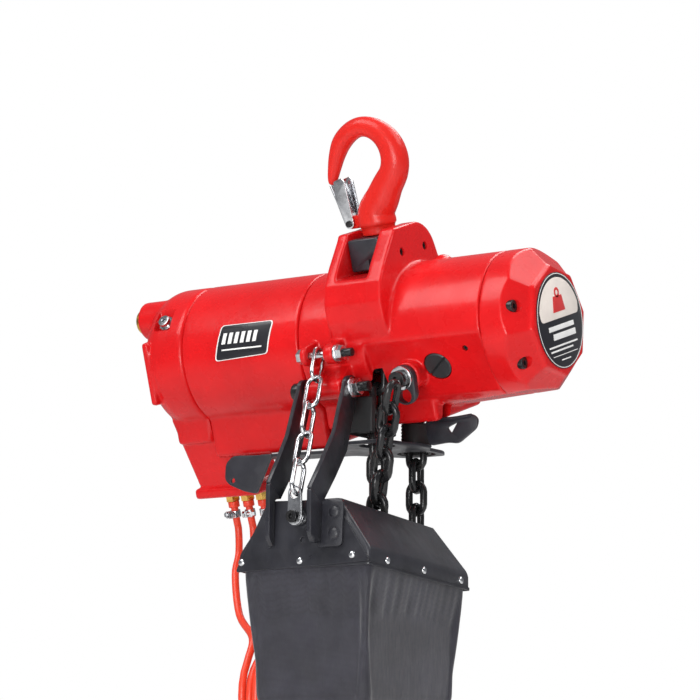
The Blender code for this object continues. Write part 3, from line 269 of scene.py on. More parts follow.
def plate(outline, thickness, matrix=Matrix(), holes=(), edge=0.0004, corner=0.0):
    """A flat plate with eased edges; holes are outlines too."""
    curve = bpy.data.curves.new("outline", "CURVE")
    curve.dimensions, curve.fill_mode = "2D", "BOTH"
    curve.extrude, curve.bevel_depth, curve.offset = thickness / 2 - edge, edge, -edge
    curve.bevel_resolution = 1
    if corner:
        outline = rounded(outline, corner, 4, True)
    for loop in [outline, *holes]:
        spline = curve.splines.new("POLY")
        spline.points.add(len(loop) - 1)
        for point, (x, y) in zip(spline.points, loop):
            point.co = (x, y, 0, 1)
        spline.use_cyclic_u = True
    obj = bpy.data.objects.new("outline", curve)
    SCENE.collection.objects.link(obj)
    shape = baked(obj)
    bmesh.ops.remove_doubles(shape, verts=shape.verts, dist=0.000004)
    bmesh.ops.recalc_face_normals(shape, faces=shape.faces)
    return moved(shape, matrix)


def smooth(points, steps):
    """A Catmull-Rom curve through the points."""
    points = [Vector(p) for p in points]
    ends = [2 * points[0] - points[1], *points, 2 * points[-1] - points[-2]]
    made = []
    for a, b, c, d in zip(ends, ends[1:], ends[2:], ends[3:]):
        for i in range(steps):
            t = i / steps
            square, cube = (2 * a - 5 * b + 4 * c - d) * t**2, (3 * b - a - 3 * c + d) * t**3
            made.append(0.5 * (2 * b + (c - a) * t + square + cube))
    return made + [points[-1]]


def tube(points, radius, sides=16, closed=False, squash=None):
    """A round bar along a line. radius is one size or one for each point; squash is (direction, factor)."""
    points = [Vector(p) for p in points]
    count = len(points)
    radii = radius if isinstance(radius, (list, tuple)) else [radius] * count
    shape = bmesh.new()
    rings = []
    side = None
    for i, point in enumerate(points):
        before = points[i - 1] if closed or i else point
        after = points[(i + 1) % count] if closed or i < count - 1 else point
        way = (after - before).normalized()
        if side is None:
            side = way.cross(Vector((0.31, 0.17, 0.93))).normalized()
        side = (side - way * side.dot(way)).normalized()
        other = way.cross(side)
        loop = []
        for j in range(sides):
            angle = math.tau * j / sides
            offset = (side * math.cos(angle) + other * math.sin(angle)) * radii[i]
            if squash:
                direction, factor = squash
                offset -= direction * offset.dot(direction) * (1 - factor)
            loop.append(shape.verts.new(point + offset))
        rings.append(loop)
    bridge(shape, rings)
    if closed:
        first = rings[0]
        near = min(range(sides), key=lambda k: (rings[-1][0].co - first[k].co).length)
        bridge(shape, [rings[-1], first[near:] + first[:near]])
    else:
        shape.faces.new(rings[0])
        shape.faces.new(rings[-1])
    bmesh.ops.recalc_face_normals(shape, faces=shape.faces)
    return shape


def hexagon(across, bore, height, matrix):
    """A hexagonal nut or head standing on its frame's XY plane; across is over its flats."""
    corner = across / math.sqrt(3)
    prism = plate(circle(corner, 6), height, at(0, 0, height / 2), [circle(bore, 24)] if bore else [], 0.0001)
    rim = corner * 1.01
    shoulder = height - corner * 0.12 * 0.6
    profile = [(height, 0), (height, corner * 0.88), (shoulder, rim), (-0.001, rim), (-0.001, 0)]
    cone = lathe(profile, Matrix(), 48)
    return moved(boolean(prism, [cone], "INTERSECT"), matrix)


def socket_head(radius, height, socket, matrix):
    """A cap screw's head with its hexagonal socket, standing on its frame's XY plane."""
    head = rod(radius, 0, height, Matrix(), 40, 0.0005)
    hole = plate(circle(socket, 6), height, at(0, 0, height * 0.95), (), 0.00005)
    return moved(boolean(head, [hole]), matrix)


def dome(radius, height, matrix, sides=28):
    """A domed rivet head on its frame's XY plane."""
    profile = [(height * math.cos(a), radius * math.sin(a)) for a in [math.pi / 2 * i / 6 for i in range(7)]]
    return lathe(profile + [(-0.0006, radius), (-0.0006, 0)], matrix, sides)


# ---------------------------------------------------------------- materials


def new_material(name, colour, roughness, metallic=0.0):
    made = bpy.data.materials.new(name)
    made.use_nodes = True
    shader = made.node_tree.nodes["Principled BSDF"]
    shader.inputs["Base Color"].default_value = (*colour, 1)
    shader.inputs["Roughness"].default_value = roughness
    shader.inputs["Metallic"].default_value = metallic
    return made, made.node_tree, shader


def add_node(tree, kind, inputs=(), **settings):
    node = tree.nodes.new(kind)
    for key, value in settings.items():
        setattr(node, key, value)
    for key, value in dict(inputs).items():
        if isinstance(value, bpy.types.NodeSocket):
            tree.links.new(value, node.inputs[key])
        else:
            node.inputs[key].default_value = value
    return node


def place_of(tree):
    """The object's own coordinates."""
    for node in tree.nodes:
        if node.bl_idname == "ShaderNodeTexCoord":
            return node.outputs["Object"]
    return add_node(tree, "ShaderNodeTexCoord").outputs["Object"]


def grain(tree, scale, detail=3.0, roughness=0.55, stretch=None):
    """Noise over the object; stretch scales it differently along X, Y and Z."""
    where = place_of(tree)
    if stretch:
        where = add_node(tree, "ShaderNodeMapping", {"Vector": where, "Scale": stretch}).outputs[0]
    sockets = {"Vector": where, "Scale": scale, "Detail": detail, "Roughness": roughness}
    return add_node(tree, "ShaderNodeTexNoise", sockets).outputs["Fac"]


def span(tree, source, low, high, first=0.0, last=1.0):
    """Maps source from low..high to first..last, clamped."""
    sockets = {"Value": source, "From Min": low, "From Max": high, "To Min": first, "To Max": last}
    return add_node(tree, "ShaderNodeMapRange", sockets).outputs["Result"]


def mix(tree, factor, one, two):
    node = add_node(tree, "ShaderNodeMix", data_type="RGBA")
    for socket, value in ((node.inputs["Factor"], factor), (node.inputs[6], one), (node.inputs[7], two)):
        if isinstance(value, bpy.types.NodeSocket):
            tree.links.new(value, socket)
        else:
            socket.default_value = value if isinstance(value, float) else (*value, 1)
    return node.outputs[2]


def bumps(tree, shader, *layers):
    """Bump layers of (height, strength, distance in metres)."""
    normal = None
    for height, strength, distance in layers:
        sockets = {"Height": height, "Strength": strength, "Distance": distance}
        if normal:
            sockets["Normal"] = normal
        normal = add_node(tree, "ShaderNodeBump", sockets).outputs["Normal"]
    tree.links.new(normal, shader.inputs["Normal"])


def make_enamel(name, colour, roughness, texture=1.0):
    """Glossy enamel over a casting: a wavy skin, orange peel over it, and specks of dust."""
    made, tree, shader = new_material(name, colour, roughness)
    dark = tuple(c * 0.86 for c in colour)
    tone = mix(tree, span(tree, grain(tree, 21, 3), 0.35, 0.7), dark, colour)
    tree.links.new(tone, shader.inputs["Base Color"])
    gloss = span(tree, grain(tree, 55, 5), 0.3, 0.75, roughness * 0.8, roughness * 1.35)
    tree.links.new(gloss, shader.inputs["Roughness"])
    shader.inputs["Coat Weight"].default_value = 0.14
    shader.inputs["Coat Roughness"].default_value = 0.10
    shader.inputs["Specular IOR Level"].default_value = 0.22
    speckle = span(tree, grain(tree, 620, 3, 0.6), 0.60, 0.82)
    bumps(
        tree, shader,
        (grain(tree, 34, 3), 0.30 * texture, 0.0016),
        (grain(tree, 420, 2), 0.10 * texture, 0.0004),
        (speckle, 0.10 * texture, 0.0003),
    )
    return made


def make_metal(name, colour, roughness, scratch=0.15, dirt=None, metallic=1.0, scale=120):
    """Plated or bare metal with fine scratches and darker stains."""
    made, tree, shader = new_material(name, colour, roughness, metallic)
    stain = span(tree, grain(tree, scale, 5, 0.65), 0.42, 0.72)
    tone = mix(tree, stain, colour, dirt or tuple(c * 0.7 for c in colour))
    tree.links.new(tone, shader.inputs["Base Color"])
    gloss = span(tree, grain(tree, scale * 2.2, 4), 0.3, 0.7, roughness * 0.75, roughness * 1.4)
    tree.links.new(gloss, shader.inputs["Roughness"])
    lines = grain(tree, scale * 3, 3, stretch=(1, 1, 6))
    bumps(tree, shader, (lines, scratch, 0.0004), (grain(tree, scale * 0.5, 2), scratch, 0.0008))
    return made


def make_black(name, colour, roughness, peel=0.16):
    """Semi-gloss black paint on steel plate, rubbed paler in patches."""
    made, tree, shader = new_material(name, colour, roughness)
    pale = tuple(c * 1.7 + 0.002 for c in colour)
    base = mix(tree, span(tree, grain(tree, 40, 4), 0.35, 0.7), colour, pale)
    tree.links.new(base, shader.inputs["Base Color"])
    gloss = span(tree, grain(tree, 90, 5), 0.3, 0.75, roughness * 0.8, roughness * 1.4)
    tree.links.new(gloss, shader.inputs["Roughness"])
    shader.inputs["Coat Weight"].default_value = 0.1
    shader.inputs["Coat Roughness"].default_value = 0.22
    bumps(tree, shader, (grain(tree, 700, 2), peel, 0.0003), (grain(tree, 60, 3), peel, 0.0010))
    return made


def make_cloth(name, colour):
    """Coated woven cloth: crossed threads with painted shade in the gaps between them, faint creases and
    rubbed patches.
    """
    made, tree, shader = new_material(name, colour, 0.7)
    waves = []
    for direction in ("X", "Y", "Z"):
        sockets = {"Vector": place_of(tree), "Scale": 340.0, "Distortion": 0.3, "Detail": 1.0}
        node = add_node(tree, "ShaderNodeTexWave", sockets, bands_direction=direction, wave_profile="SIN")
        waves.append(node.outputs["Fac"])
    flat = add_node(tree, "ShaderNodeMath", {0: waves[0], 1: waves[1]}, operation="ADD").outputs[0]
    weave = add_node(tree, "ShaderNodeMath", {0: flat, 1: waves[2]}, operation="ADD").outputs[0]
    threads = span(tree, weave, 0.6, 2.4)
    dark, light = tuple(c * 0.72 for c in colour), tuple(c * 1.5 for c in colour)
    worn = mix(tree, span(tree, grain(tree, 24, 5, 0.6), 0.35, 0.75), dark, light)
    # painted shade: the colour falls to half where the weave is low, in the gaps between the threads
    painted_gap_shade = tuple(c * 0.5 for c in colour)
    tone = mix(tree, span(tree, weave, 0.4, 1.3), painted_gap_shade, worn)
    tree.links.new(tone, shader.inputs["Base Color"])
    gloss = span(tree, grain(tree, 60, 4), 0.3, 0.7, 0.52, 0.8)
    tree.links.new(gloss, shader.inputs["Roughness"])
    shader.inputs["Sheen Weight"].default_value = 0.35
    shader.inputs["Sheen Roughness"].default_value = 0.45
    creases = grain(tree, 26, 4, 0.6, (1, 1, 0.35))
    bumps(tree, shader, (creases, 0.45, 0.0040), (threads, 0.5, 0.0003))
    return made


def make_rubbery(name, colour, roughness, texture=0.12, scale=500.0):
    """Moulded rubber or plastic with a fine sparked texture and dust in patches."""
    made, tree, shader = new_material(name, colour, roughness)
    pale = tuple(min(1.0, c * 1.25 + 0.004) for c in colour)
    tone = mix(tree, span(tree, grain(tree, 30, 5), 0.4, 0.8), colour, pale)
    tree.links.new(tone, shader.inputs["Base Color"])
    gloss = span(tree, grain(tree, 70, 4), 0.3, 0.7, roughness * 0.85, min(1.0, roughness * 1.2))
    tree.links.new(gloss, shader.inputs["Roughness"])
    bumps(tree, shader, (grain(tree, scale, 2), texture, 0.0003), (grain(tree, 45, 2), texture, 0.0010))
    return made


MATERIALS = {
    "red_paint": make_enamel("red_paint", (0.690, 0.0080, 0.0100), 0.27),
    "hook_paint": make_enamel("hook_paint", (0.700, 0.0200, 0.0140), 0.30, 1.8),
    "black_paint": make_black("black_paint", (0.0125, 0.0125, 0.0165), 0.34),
    "plate_black": make_black("plate_black", (0.017, 0.017, 0.022), 0.38, 0.22),
    "dark_steel": make_metal("dark_steel", (0.016, 0.016, 0.018), 0.20, 0.08, (0.034, 0.033, 0.032), 0.30),
    "zinc": make_metal("zinc", (0.72, 0.73, 0.75), 0.16, 0.10, (0.36, 0.36, 0.37)),
    "steel": make_metal("steel", (0.50, 0.51, 0.53), 0.30, 0.15),
    "brass": make_metal("brass", (0.78, 0.47, 0.12), 0.24, 0.10, (0.45, 0.25, 0.06)),
    "bronze": make_metal("bronze", (0.42, 0.25, 0.12), 0.38, 0.2),
    "hose": make_rubbery("hose", (0.78, 0.055, 0.022), 0.33, 0.06, 260.0),
    "rubber": make_rubbery("rubber", (0.010, 0.010, 0.011), 0.62),
    "plastic": make_rubbery("plastic", (0.020, 0.020, 0.022), 0.45),
    "fabric": make_cloth("fabric", (0.022, 0.021, 0.031)),
    "button": make_rubbery("button", (0.72, 0.40, 0.02), 0.40),
    "chain_steel": make_metal("chain_steel", (0.020, 0.020, 0.021), 0.30, 0.3, (0.07, 0.05, 0.04), 0.35),
    "label_black": make_rubbery("label_black", (0.012, 0.012, 0.016), 0.32, 0.03),
    "label_white": make_rubbery("label_white", (0.80, 0.79, 0.77), 0.38, 0.03),
    "label_cream": make_rubbery("label_cream", (0.78, 0.70, 0.64), 0.40, 0.03),
    "label_red": make_rubbery("label_red", (0.60, 0.03, 0.03), 0.40, 0.03),
}


def piece(name, shape, matrix, finish, body, nodes=(), angle=34, edge=0.0, steps=2, flat=False):
    """Puts a shape into the scene as a piece that rides on a body and stands for the nodes."""
    obj = work(moved(shape, matrix), name)
    if edge:
        ease = obj.modifiers.new("edge", "BEVEL")
        ease.width, ease.segments, ease.limit_method = edge, steps, "ANGLE"
        ease.angle_limit = math.radians(32)
        ease.harden_normals = True
        obj = work(baked(obj), name)
    mesh = obj.data
    mesh.materials.clear()
    mesh.materials.append(MATERIALS[finish])
    for polygon in mesh.polygons:
        polygon.material_index = 0
    if not flat:
        mesh.shade_smooth()
        mesh.set_sharp_from_angle(angle=math.radians(angle))
    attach(obj, body)
    if nodes:
        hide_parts(*nodes)
    return obj


# ---------------------------------------------------------------- camera, light, floor


def aimed(name, data, turn, rise, distance):
    """A camera or light aimed at the barrel; turn is from the front towards +X, both in degrees."""
    turn, rise = math.radians(turn), math.radians(rise)
    back = Vector((math.sin(turn) * math.cos(rise), -math.cos(turn) * math.cos(rise), math.sin(rise)))
    obj = bpy.data.objects.new(name, data)
    obj.location = BARREL + back * distance
    obj.rotation_euler = back.to_track_quat("Z", "Y").to_euler()
    SCENE.collection.objects.link(obj)
    return obj


def make_camera():
    data = bpy.data.cameras.new("camera")
    data.lens, data.sensor_width = 133.5, 36
    data.shift_x, data.shift_y = -47 / 700, -12 / 700
    data.clip_start, data.clip_end = 0.05, 30
    SCENE.camera = aimed("camera", data, 32, -10, 2.2)


def make_light(name, turn, rise, distance, size, energy):
    """A square soft light."""
    data = bpy.data.lights.new(name, "AREA")
    data.shape, data.size, data.energy = "SQUARE", size, energy
    aimed(name, data, turn, rise, distance)


def make_world():
    """White behind the object, and a dimmer light from all round."""
    world = bpy.data.worlds.new("studio")
    SCENE.world = world
    world.use_nodes = True
    tree = world.node_tree
    seen = tree.nodes["Background"]
    seen.inputs["Color"].default_value = (1.0, 1.0, 1.0, 1)
    seen.inputs["Strength"].default_value = 1.0
    around = tree.nodes.new("ShaderNodeBackground")
    around.inputs["Color"].default_value = (0.93, 0.95, 1.0, 1)
    around.inputs["Strength"].default_value = 0.26
    path = tree.nodes.new("ShaderNodeLightPath")
    choose = tree.nodes.new("ShaderNodeMixShader")
    tree.links.new(path.outputs["Is Camera Ray"], choose.inputs[0])
    tree.links.new(around.outputs[0], choose.inputs[1])
    tree.links.new(seen.outputs[0], choose.inputs[2])
    tree.links.new(choose.outputs[0], tree.nodes["World Output"].inputs["Surface"])
    SCENE.view_settings.view_transform = "Standard"


def make_floor():
    made, tree, shader = new_material("floor", (0.86, 0.86, 0.85), 0.6)
    tone = mix(tree, span(tree, grain(tree, 3, 3), 0.3, 0.7), (0.84, 0.84, 0.83), (0.88, 0.88, 0.87))
    tree.links.new(tone, shader.inputs["Base Color"])
    bumps(tree, shader, (grain(tree, 90, 3), 0.05, 0.001))
    shape = bmesh.new()
    bmesh.ops.create_grid(shape, x_segments=4, y_segments=4, size=3)
    shape.transform(at(0, 0, CAD_LOW.z - 0.001))
    floor = work(shape, "floor")
    floor.data.materials.append(made)


make_camera()
make_world()
make_floor()
make_light("key", -24, 44, 1.9, 1.1, 21)
make_light("front_fill", 12, 2, 2.6, 1.2, 14)
make_light("side", 95, 48, 1.7, 1.0, 13)
make_light("rim", 170, 62, 1.6, 1.0, 20)
make_light("low", 20, -13, 1.6, 0.6, 11)

# ---------------------------------------------------------------- hoses and pendant

HEX_FOOT = 0.1295  # below the barrel's axis, square to it: where a hose's end meets its fitting
COLUMN = 0.0034  # each hose lies in two columns beside its middle plane
COIL_OUTER, COIL_NEXT, COIL_INNER, COIL_LAST = 0.0552, 0.0480, 0.0278, 0.0515
COIL_START = 145  # degrees from +Y towards +Z
TURN_STEPS = 32


def hose_path(i):
    """Down to the coil, inwards through one column, outwards through the other, then to the pendant."""
    lean = Vector((0, math.sin(TILT), -math.cos(TILT)))
    base = Vector((HOSE_X[i], 0, 0)) + lean * 0.147
    enter = Vector((COIL_X[i], COIL_Y - 0.038, COIL_Z))
    left = COIL_X[i] - COLUMN
    drop = [
        Vector((HOSE_X[i], 0, 0)) + lean * HEX_FOOT, base, base + lean * 0.010,
        base + Vector((0.002, 0.001, -0.030)),
        Vector((base.x * 0.90 + enter.x * 0.10, base.y * 0.80 + enter.y * 0.20, -0.190)),
        Vector((base.x * 0.64 + enter.x * 0.36, base.y * 0.52 + enter.y * 0.48, -0.226)),
        Vector((left - 0.002, 0.0045, -0.2480)),
    ]
    legs = [  # degrees turned, radius and column at the end of each leg
        (125, COIL_NEXT, -COLUMN), (1080, COIL_INNER, -COLUMN),
        (180, COIL_INNER, COLUMN), (1170, COIL_LAST, COLUMN),
    ]
    coil = []
    angle, radius, column = COIL_START, COIL_OUTER, -COLUMN
    for turned, next_radius, next_column in legs:
        steps = max(4, round(turned / 360 * TURN_STEPS))
        for j in range(steps):
            t = j / steps
            ease = t * t * (3 - 2 * t)
            a = math.radians(angle + turned * t)
            r = radius + (next_radius - radius) * t
            x = COIL_X[i] + column + (next_column - column) * ease
            coil.append(Vector((x, COIL_Y + r * math.cos(a), COIL_Z + r * math.sin(a))))
        angle, radius, column = angle + turned, next_radius, next_column
    tail = [
        Vector((COIL_X[i] + COLUMN * share, COIL_Y - COIL_LAST, COIL_Z - fall))
        for share, fall in ((1, 0), (1, 0.014), (1, 0.027), (0.55, 0.040), (0, 0.053), (0, 0.0625))
    ]
    return smooth(drop + coil[:1], 5)[:-1] + coil + smooth(tail, 4)


def tie_shape(degrees):
    """A strap round the coil's section."""
    low_x, high_x = COIL_X[0] - COLUMN - HOSE_OD / 2 - 0.0004, COIL_X[2] + COLUMN + HOSE_OD / 2 + 0.0004
    low_r, high_r = 0.0240, 0.0530
    outside, inside = [
        rounded(rectangle(low_x - grow, high_x + grow, low_r - grow, high_r + grow), 0.006, 5, True)
        for grow in (0.0012, 0.0)
    ]
    strap = plate(outside, 0.0055, Matrix(), [inside], 0.0003)
    head = block((high_x - 0.016, high_r, -0.0035), (high_x - 0.008, high_r + 0.0034, 0.0035), 0.0008)
    tail_low = (high_x - 0.022, high_r + 0.0010, -0.0022)
    tail = block(tail_low, (high_x - 0.002, high_r + 0.0021, 0.0022), 0.0004)
    turn = at(0, COIL_Y, COIL_Z) @ Matrix.Rotation(math.radians(degrees), 4, "X")
    return moved(gather(strap, head, tail), turn)


def make_hoses():
    for i in range(3):
        path = hose_path(i)
        shape = tube(path, HOSE_OD / 2, 16)
        nodes = [f"hose_drop_{i + 1}"] + (["hose_coil"] if i == 1 else [])
        hose = piece(f"hose_{i + 1}", shape, PLUMB, "hose", "hoist_body", nodes)
        top = at(HOSE_X[i], 0, 0)
        fitting = gather(
            hexagon(0.0112, 0.0020, 0.0080, top @ at(0, 0, -0.1293)),
            ring(0.0039, 0.0016, -0.1213, -0.1113, top, 24),
            rod(0.0050, -0.1213, -0.1203, top, 24),
        )
        piece(f"fitting_{i + 1}", fitting, BODY, "brass", "hoist_body", [f"hose_fitting_{i + 1}"])
        end = ring(0.0050, 0.0030, -0.1352, -0.1296, top, 32, soft=0.0010)
        piece(f"hose_end_{i + 1}", end, BODY, "hose", "hoist_body")
        spin = Matrix.Rotation((-0.5, 0.35, 1.2)[i], 4, "Z")
        clamp_at = top @ at(0, 0, -0.1410) @ spin
        band = ring(0.0047, 0.0034, -0.0032, 0.0032, clamp_at, 40, soft=0.0003)
        ears = [
            *[block((x, -0.0082, -0.0030), (x + 0.0018, -0.0036, 0.0030), 0.0003, 1, clamp_at)
              for x in (-0.0034, 0.0016)],
            moved(rod(0.0013, -0.0052, 0.0062, ALONG_X, 16), clamp_at @ at(0, -0.0062, 0)),
            hexagon(0.0052, 0, 0.0026, clamp_at @ at(0.0034, -0.0062, 0) @ ALONG_X),
            hexagon(0.0050, 0, 0.0022, clamp_at @ at(-0.0056, -0.0062, 0) @ ALONG_X),
        ]
        piece(f"hose_clamp_{i + 1}", gather(band, *ears), BODY, "zinc", "hoist_body")
    for j, degrees in enumerate((62, 318)):
        piece(f"hose_tie_{j + 1}", tie_shape(degrees), PLUMB, "plastic", "hoist_body")


def make_pendant():
    x, y = COIL_X[1], COIL_Y - 0.038 - 0.0135
    low = PENDANT_Z - 0.118
    half = [(0.017, low), (0.021, low + 0.012), (0.0195, low + 0.050), (0.021, PENDANT_Z - 0.018),
            (0.015, PENDANT_Z)]
    outline = [(-0.017, low), *half, *[(-across, z) for across, z in half[:0:-1]]]
    grip = plate(outline, 0.028, at(x, y, 0) @ UPRIGHT, (), 0.0045, 0.008)
    nipples = [
        rod(0.0036, PENDANT_Z - 0.004, PENDANT_Z + 0.0055, at(hose, y, 0), 24, 0.0006) for hose in COIL_X
    ]
    tops = (PENDANT_Z - 0.018, PENDANT_Z - 0.066)
    rooms = [block((x - 0.0125, y - 0.02, top - 0.040), (x + 0.0125, y - 0.008, top)) for top in tops]
    grip = boolean(cast([grip], 0.0009, 6), rooms)
    ribs = [
        block((x - 0.0150, y + 0.0125, foot), (x + 0.0150, y + 0.0148, foot + 0.004), 0.0007)
        for foot in [low + 0.016 + 0.009 * k for k in range(9)]
    ]
    cover_screws = [
        dome(0.0028, 0.0012, at(x + sx, y - 0.0140, z) @ UPRIGHT)
        for sx, z in ((-0.0165, low + 0.008), (0.0165, low + 0.008), (0, low + 0.0075))
    ]
    collar = [
        rod(0.0047, PENDANT_Z - 0.001, PENDANT_Z + 0.0025, at(hose, y, 0), 24, 0.0005) for hose in COIL_X
    ]
    piece("pendant", gather(grip, *ribs), PLUMB, "plastic", "hoist_body", ["pendant_body"])
    piece("pendant_nipples", gather(*nipples, *collar), PLUMB, "brass", "hoist_body")
    piece("pendant_screws", gather(*cover_screws), PLUMB, "zinc", "hoist_body")
    for name, top, way in (("up", tops[0], 1), ("down", tops[1], -1)):
        face = rectangle(-0.0115, 0.0115, top - 0.0385, top - 0.0015)
        paddle = plate(face, 0.0060, at(x, y - 0.0155, 0) @ UPRIGHT, (), 0.0014, 0.004)
        grip_lines = [
            block((x - 0.008, y - 0.0190, top - 0.034 + 0.0045 * k),
                  (x + 0.008, y - 0.0183, top - 0.0322 + 0.0045 * k), 0.0003, 1)
            for k in range(5)
        ]
        arrow = [(-0.0055, 0.0), (0.0055, 0.0), (0.0, way * 0.0062)]
        sign = plate(arrow, 0.0006, at(x, y - 0.0187, top - 0.0085 - way * 0.0031) @ UPRIGHT, (), 0.0001)
        hinge = rod(0.0025, x - 0.0110, x + 0.0110, at(0, y - 0.0110, top - 0.0050) @ ALONG_X, 20)
        paddle = gather(paddle, hinge, *grip_lines)
        piece(f"lever_{name}_paddle", paddle, PLUMB, "button", f"lever_{name}", [f"pendant_lever_{name}"])
        piece(f"lever_{name}_arrow", sign, PLUMB, "label_black", f"lever_{name}")


# ---------------------------------------------------------------- castings


def out_of(angle, radius, x=0.0):
    """A point at an angle in degrees from up towards the front."""
    a = math.radians(angle)
    return Vector((x, -radius * math.sin(a), radius * math.cos(a)))


def trimmed(shape, planes):
    """The shape cut flat by planes of (point, normal), outer side away."""
    for point, normal in planes:
        geometry = shape.verts[:] + shape.edges[:] + shape.faces[:]
        cut = bmesh.ops.bisect_plane(
            shape, geom=geometry, plane_co=point, plane_no=normal, clear_outer=True, dist=0.000001,
        )
        edges = [e for e in cut["geom_cut"] if isinstance(e, bmesh.types.BMEdge)]
        if edges:
            bmesh.ops.holes_fill(shape, edges=edges, sides=0)
    bmesh.ops.recalc_face_normals(shape, faces=shape.faces)
    return shape


TAPER_ANGLE, TAPER_START, TAPER_SLOPE = 170, 0.033, math.radians(3.7)


def taper_plane():
    """The underside that rises towards the end cap, as a point and a normal."""
    away = out_of(TAPER_ANGLE, 1)
    normal = away * math.cos(TAPER_SLOPE) + Vector((math.sin(TAPER_SLOPE), 0, 0))
    return away * R_BODY + Vector((TAPER_START, 0, 0)), normal


def ear(y, z, radius, reach, x_low, x_high):
    """A rounded ear in a YZ plane, from the barrel out to a pin at y, z."""
    away = math.atan2(z, y)
    out = arc(radius, math.degrees(away) - 90, math.degrees(away) + 90, 12, y, z)
    foot = Vector((y - reach * math.cos(away), z - reach * math.sin(away)))
    side = Vector((-math.sin(away), math.cos(away))) * radius * 1.35
    outline = out + [tuple(foot + side), tuple(foot - side)]
    return plate(outline, x_high - x_low, at((x_low + x_high) / 2, 0, 0) @ SIDEWAYS, (), 0.0010)


def lug_shapes():
    """Two cheeks that flare forward into the barrel, and the saddle between them."""
    crest = arc(0.030, 100, 20, 10, 0.008, 0.0655)
    flare = [(-0.0605, 0.0050), (-0.0648, 0.0240), (-0.0655, 0.0400), (-0.0600, 0.0560)]
    outline = flare + [(-0.0485, 0.0700), (-0.0285, 0.0905), (-0.0255, 0.0945)] + crest + [(0.050, 0.030)]
    saddle = flare + [(-0.0575, 0.0585), (-0.0150, 0.0600), (0.0, 0.0300)]
    return [
        plate(outline, 0.010, at(-0.0205, 0, 0) @ SIDEWAYS, (), 0.0012),
        plate(outline, 0.015, at(0.0230, 0, 0) @ SIDEWAYS, (), 0.0012),
        plate(saddle, 0.036, at(-0.0005, 0, 0) @ SIDEWAYS, (), 0.0012),
    ]


def make_centre_body():
    facets = [(out_of(side * FACET_TURN, FACET), out_of(side * FACET_TURN, 1)) for side in (1, -1)]
    left = rod(R_BODY, X_JOINT + GAP, 0.0040, sides=128, soft=0.0006)
    right = trimmed(rod(R_BODY, 0.0025, X_CAP - GAP, sides=128), facets + [taper_plane()])
    chest = block((X_JOINT + GAP, -CHEST_Y, -0.0685), (0.050, CHEST_Y, -0.02), 0.0030)
    ears = [
        ear(*STOP_BOLT, 0.0085, 0.024, -0.046, -0.040), ear(*STOP_BOLT, 0.0085, 0.024, -0.023, -0.0135),
        ear(*BAG_PIN_BODY, 0.009, 0.030, -0.0475, -0.0115),
    ]
    boss = rod(0.0118, 0, 0.026, at(ANCHOR_X, -0.064, ANCHOR_Z) @ ALONG_Y)
    plug_pad = rod(0.0150, FACET - 0.006, FACET + 0.0004, PLUG_AT)
    hump = moved(dome(0.0070, 0.0045, Matrix()), radial(0.052, 0.0612, -8))
    shell = cast([left, right, chest, *lug_shapes(), *ears, boss, plug_pad, hump])
    screw_holes = [
        rod(0.0036, low, high, at(0, side * YOKE_BOLT_Y, YOKE_BOLT_Z) @ ALONG_X, 32)
        for low, high in ((0.0140, 0.05), (-0.05, -0.0140)) for side in (1, -1)
    ]
    first = gather(
        *screw_holes,
        rod(0.0036, -0.06, 0.0, at(0, *STOP_BOLT) @ ALONG_X, 32),
        rod(0.0046, -0.06, 0.0, at(0, *BAG_PIN_BODY) @ ALONG_X, 32),
        rod(0.0046, -0.002, 0.022, at(ANCHOR_X, -0.066, ANCHOR_Z) @ ALONG_Y, 32),
        rod(0.0135, 0.0475, 0.07, Matrix(), 48),
        rod(0.0125, FACET - 0.006, FACET + 0.02, PLUG_AT, 48),
        rod(0.0052, 0.052, 0.070, radial(0.018, 0, 158), 32),
        rod(0.0026, FACET - 0.004, FACET + 0.012, radial(0.097, 0, 98), 24),
        rod(0.0034, -0.05, 0.05, at(LEVER_X, 0, LEVER_Z) @ ALONG_Y, 32),
        rod(0.0495, 0.031, 0.068, ALONG_X, 96), rod(0.0430, 0.072, 0.13, ALONG_X, 96),
        rod(0.0445, -0.0155, 0.0155, ALONG_X, 96),
    )
    room = rod(0.0400, 0.067, 0.073, ALONG_X, 64)
    bores = gather(
        rod(0.0203, -0.07, -0.026, ALONG_X, 64), rod(0.0203, 0.019, 0.04, ALONG_X, 64),
        block((-0.0460, -0.0085, -0.10), (-0.0240, 0.0085, -0.052)),
    )
    spigot = rod(0.0495, -0.07, -0.052, ALONG_X, 96)
    through = rod(0.0148, -0.04, 0.03, ALONG_X, 48)
    tilt = Matrix.Rotation(-TILT, 4, "X")
    lever_slot = block((0.0250, -0.0085, -0.0850), (0.0540, 0.0045, -0.0590), 0, 1, tilt)
    ports = gather(lever_slot, *[
        block((-0.0135, y - 0.0135, -0.12), (0.0135, y + 0.0135, -0.004), 0, 1, tilt)
        for y in (R_SHEAVE, -R_SHEAVE)
    ])
    shell = boolean(shell, [first, room, bores, spigot, through, ports])
    piece("centre_casting", shell, BODY, "red_paint", "hoist_body", ["centre_body"], 50)


def make_motor_casting():
    low, high = X_MOTOR + GAP, X_JOINT - GAP
    shell = rod(R_BODY, low, high, sides=128, soft=0.0008)
    chest = block((low, -CHEST_Y, CHEST_Z), (high, CHEST_Y, -0.02), 0.0040, 3)
    shell = cast([shell, chest])
    bore = rod(0.0495, -0.25, 0, ALONG_X, 96)
    valve_room = block((-0.170, -0.030, CHEST_Z + 0.007), (-0.085, 0.030, -0.058))
    shell = boolean(shell, [bore, valve_room])
    piece("motor_casting", shell, BODY, "red_paint", "hoist_body", ["motor_housing"], 50)


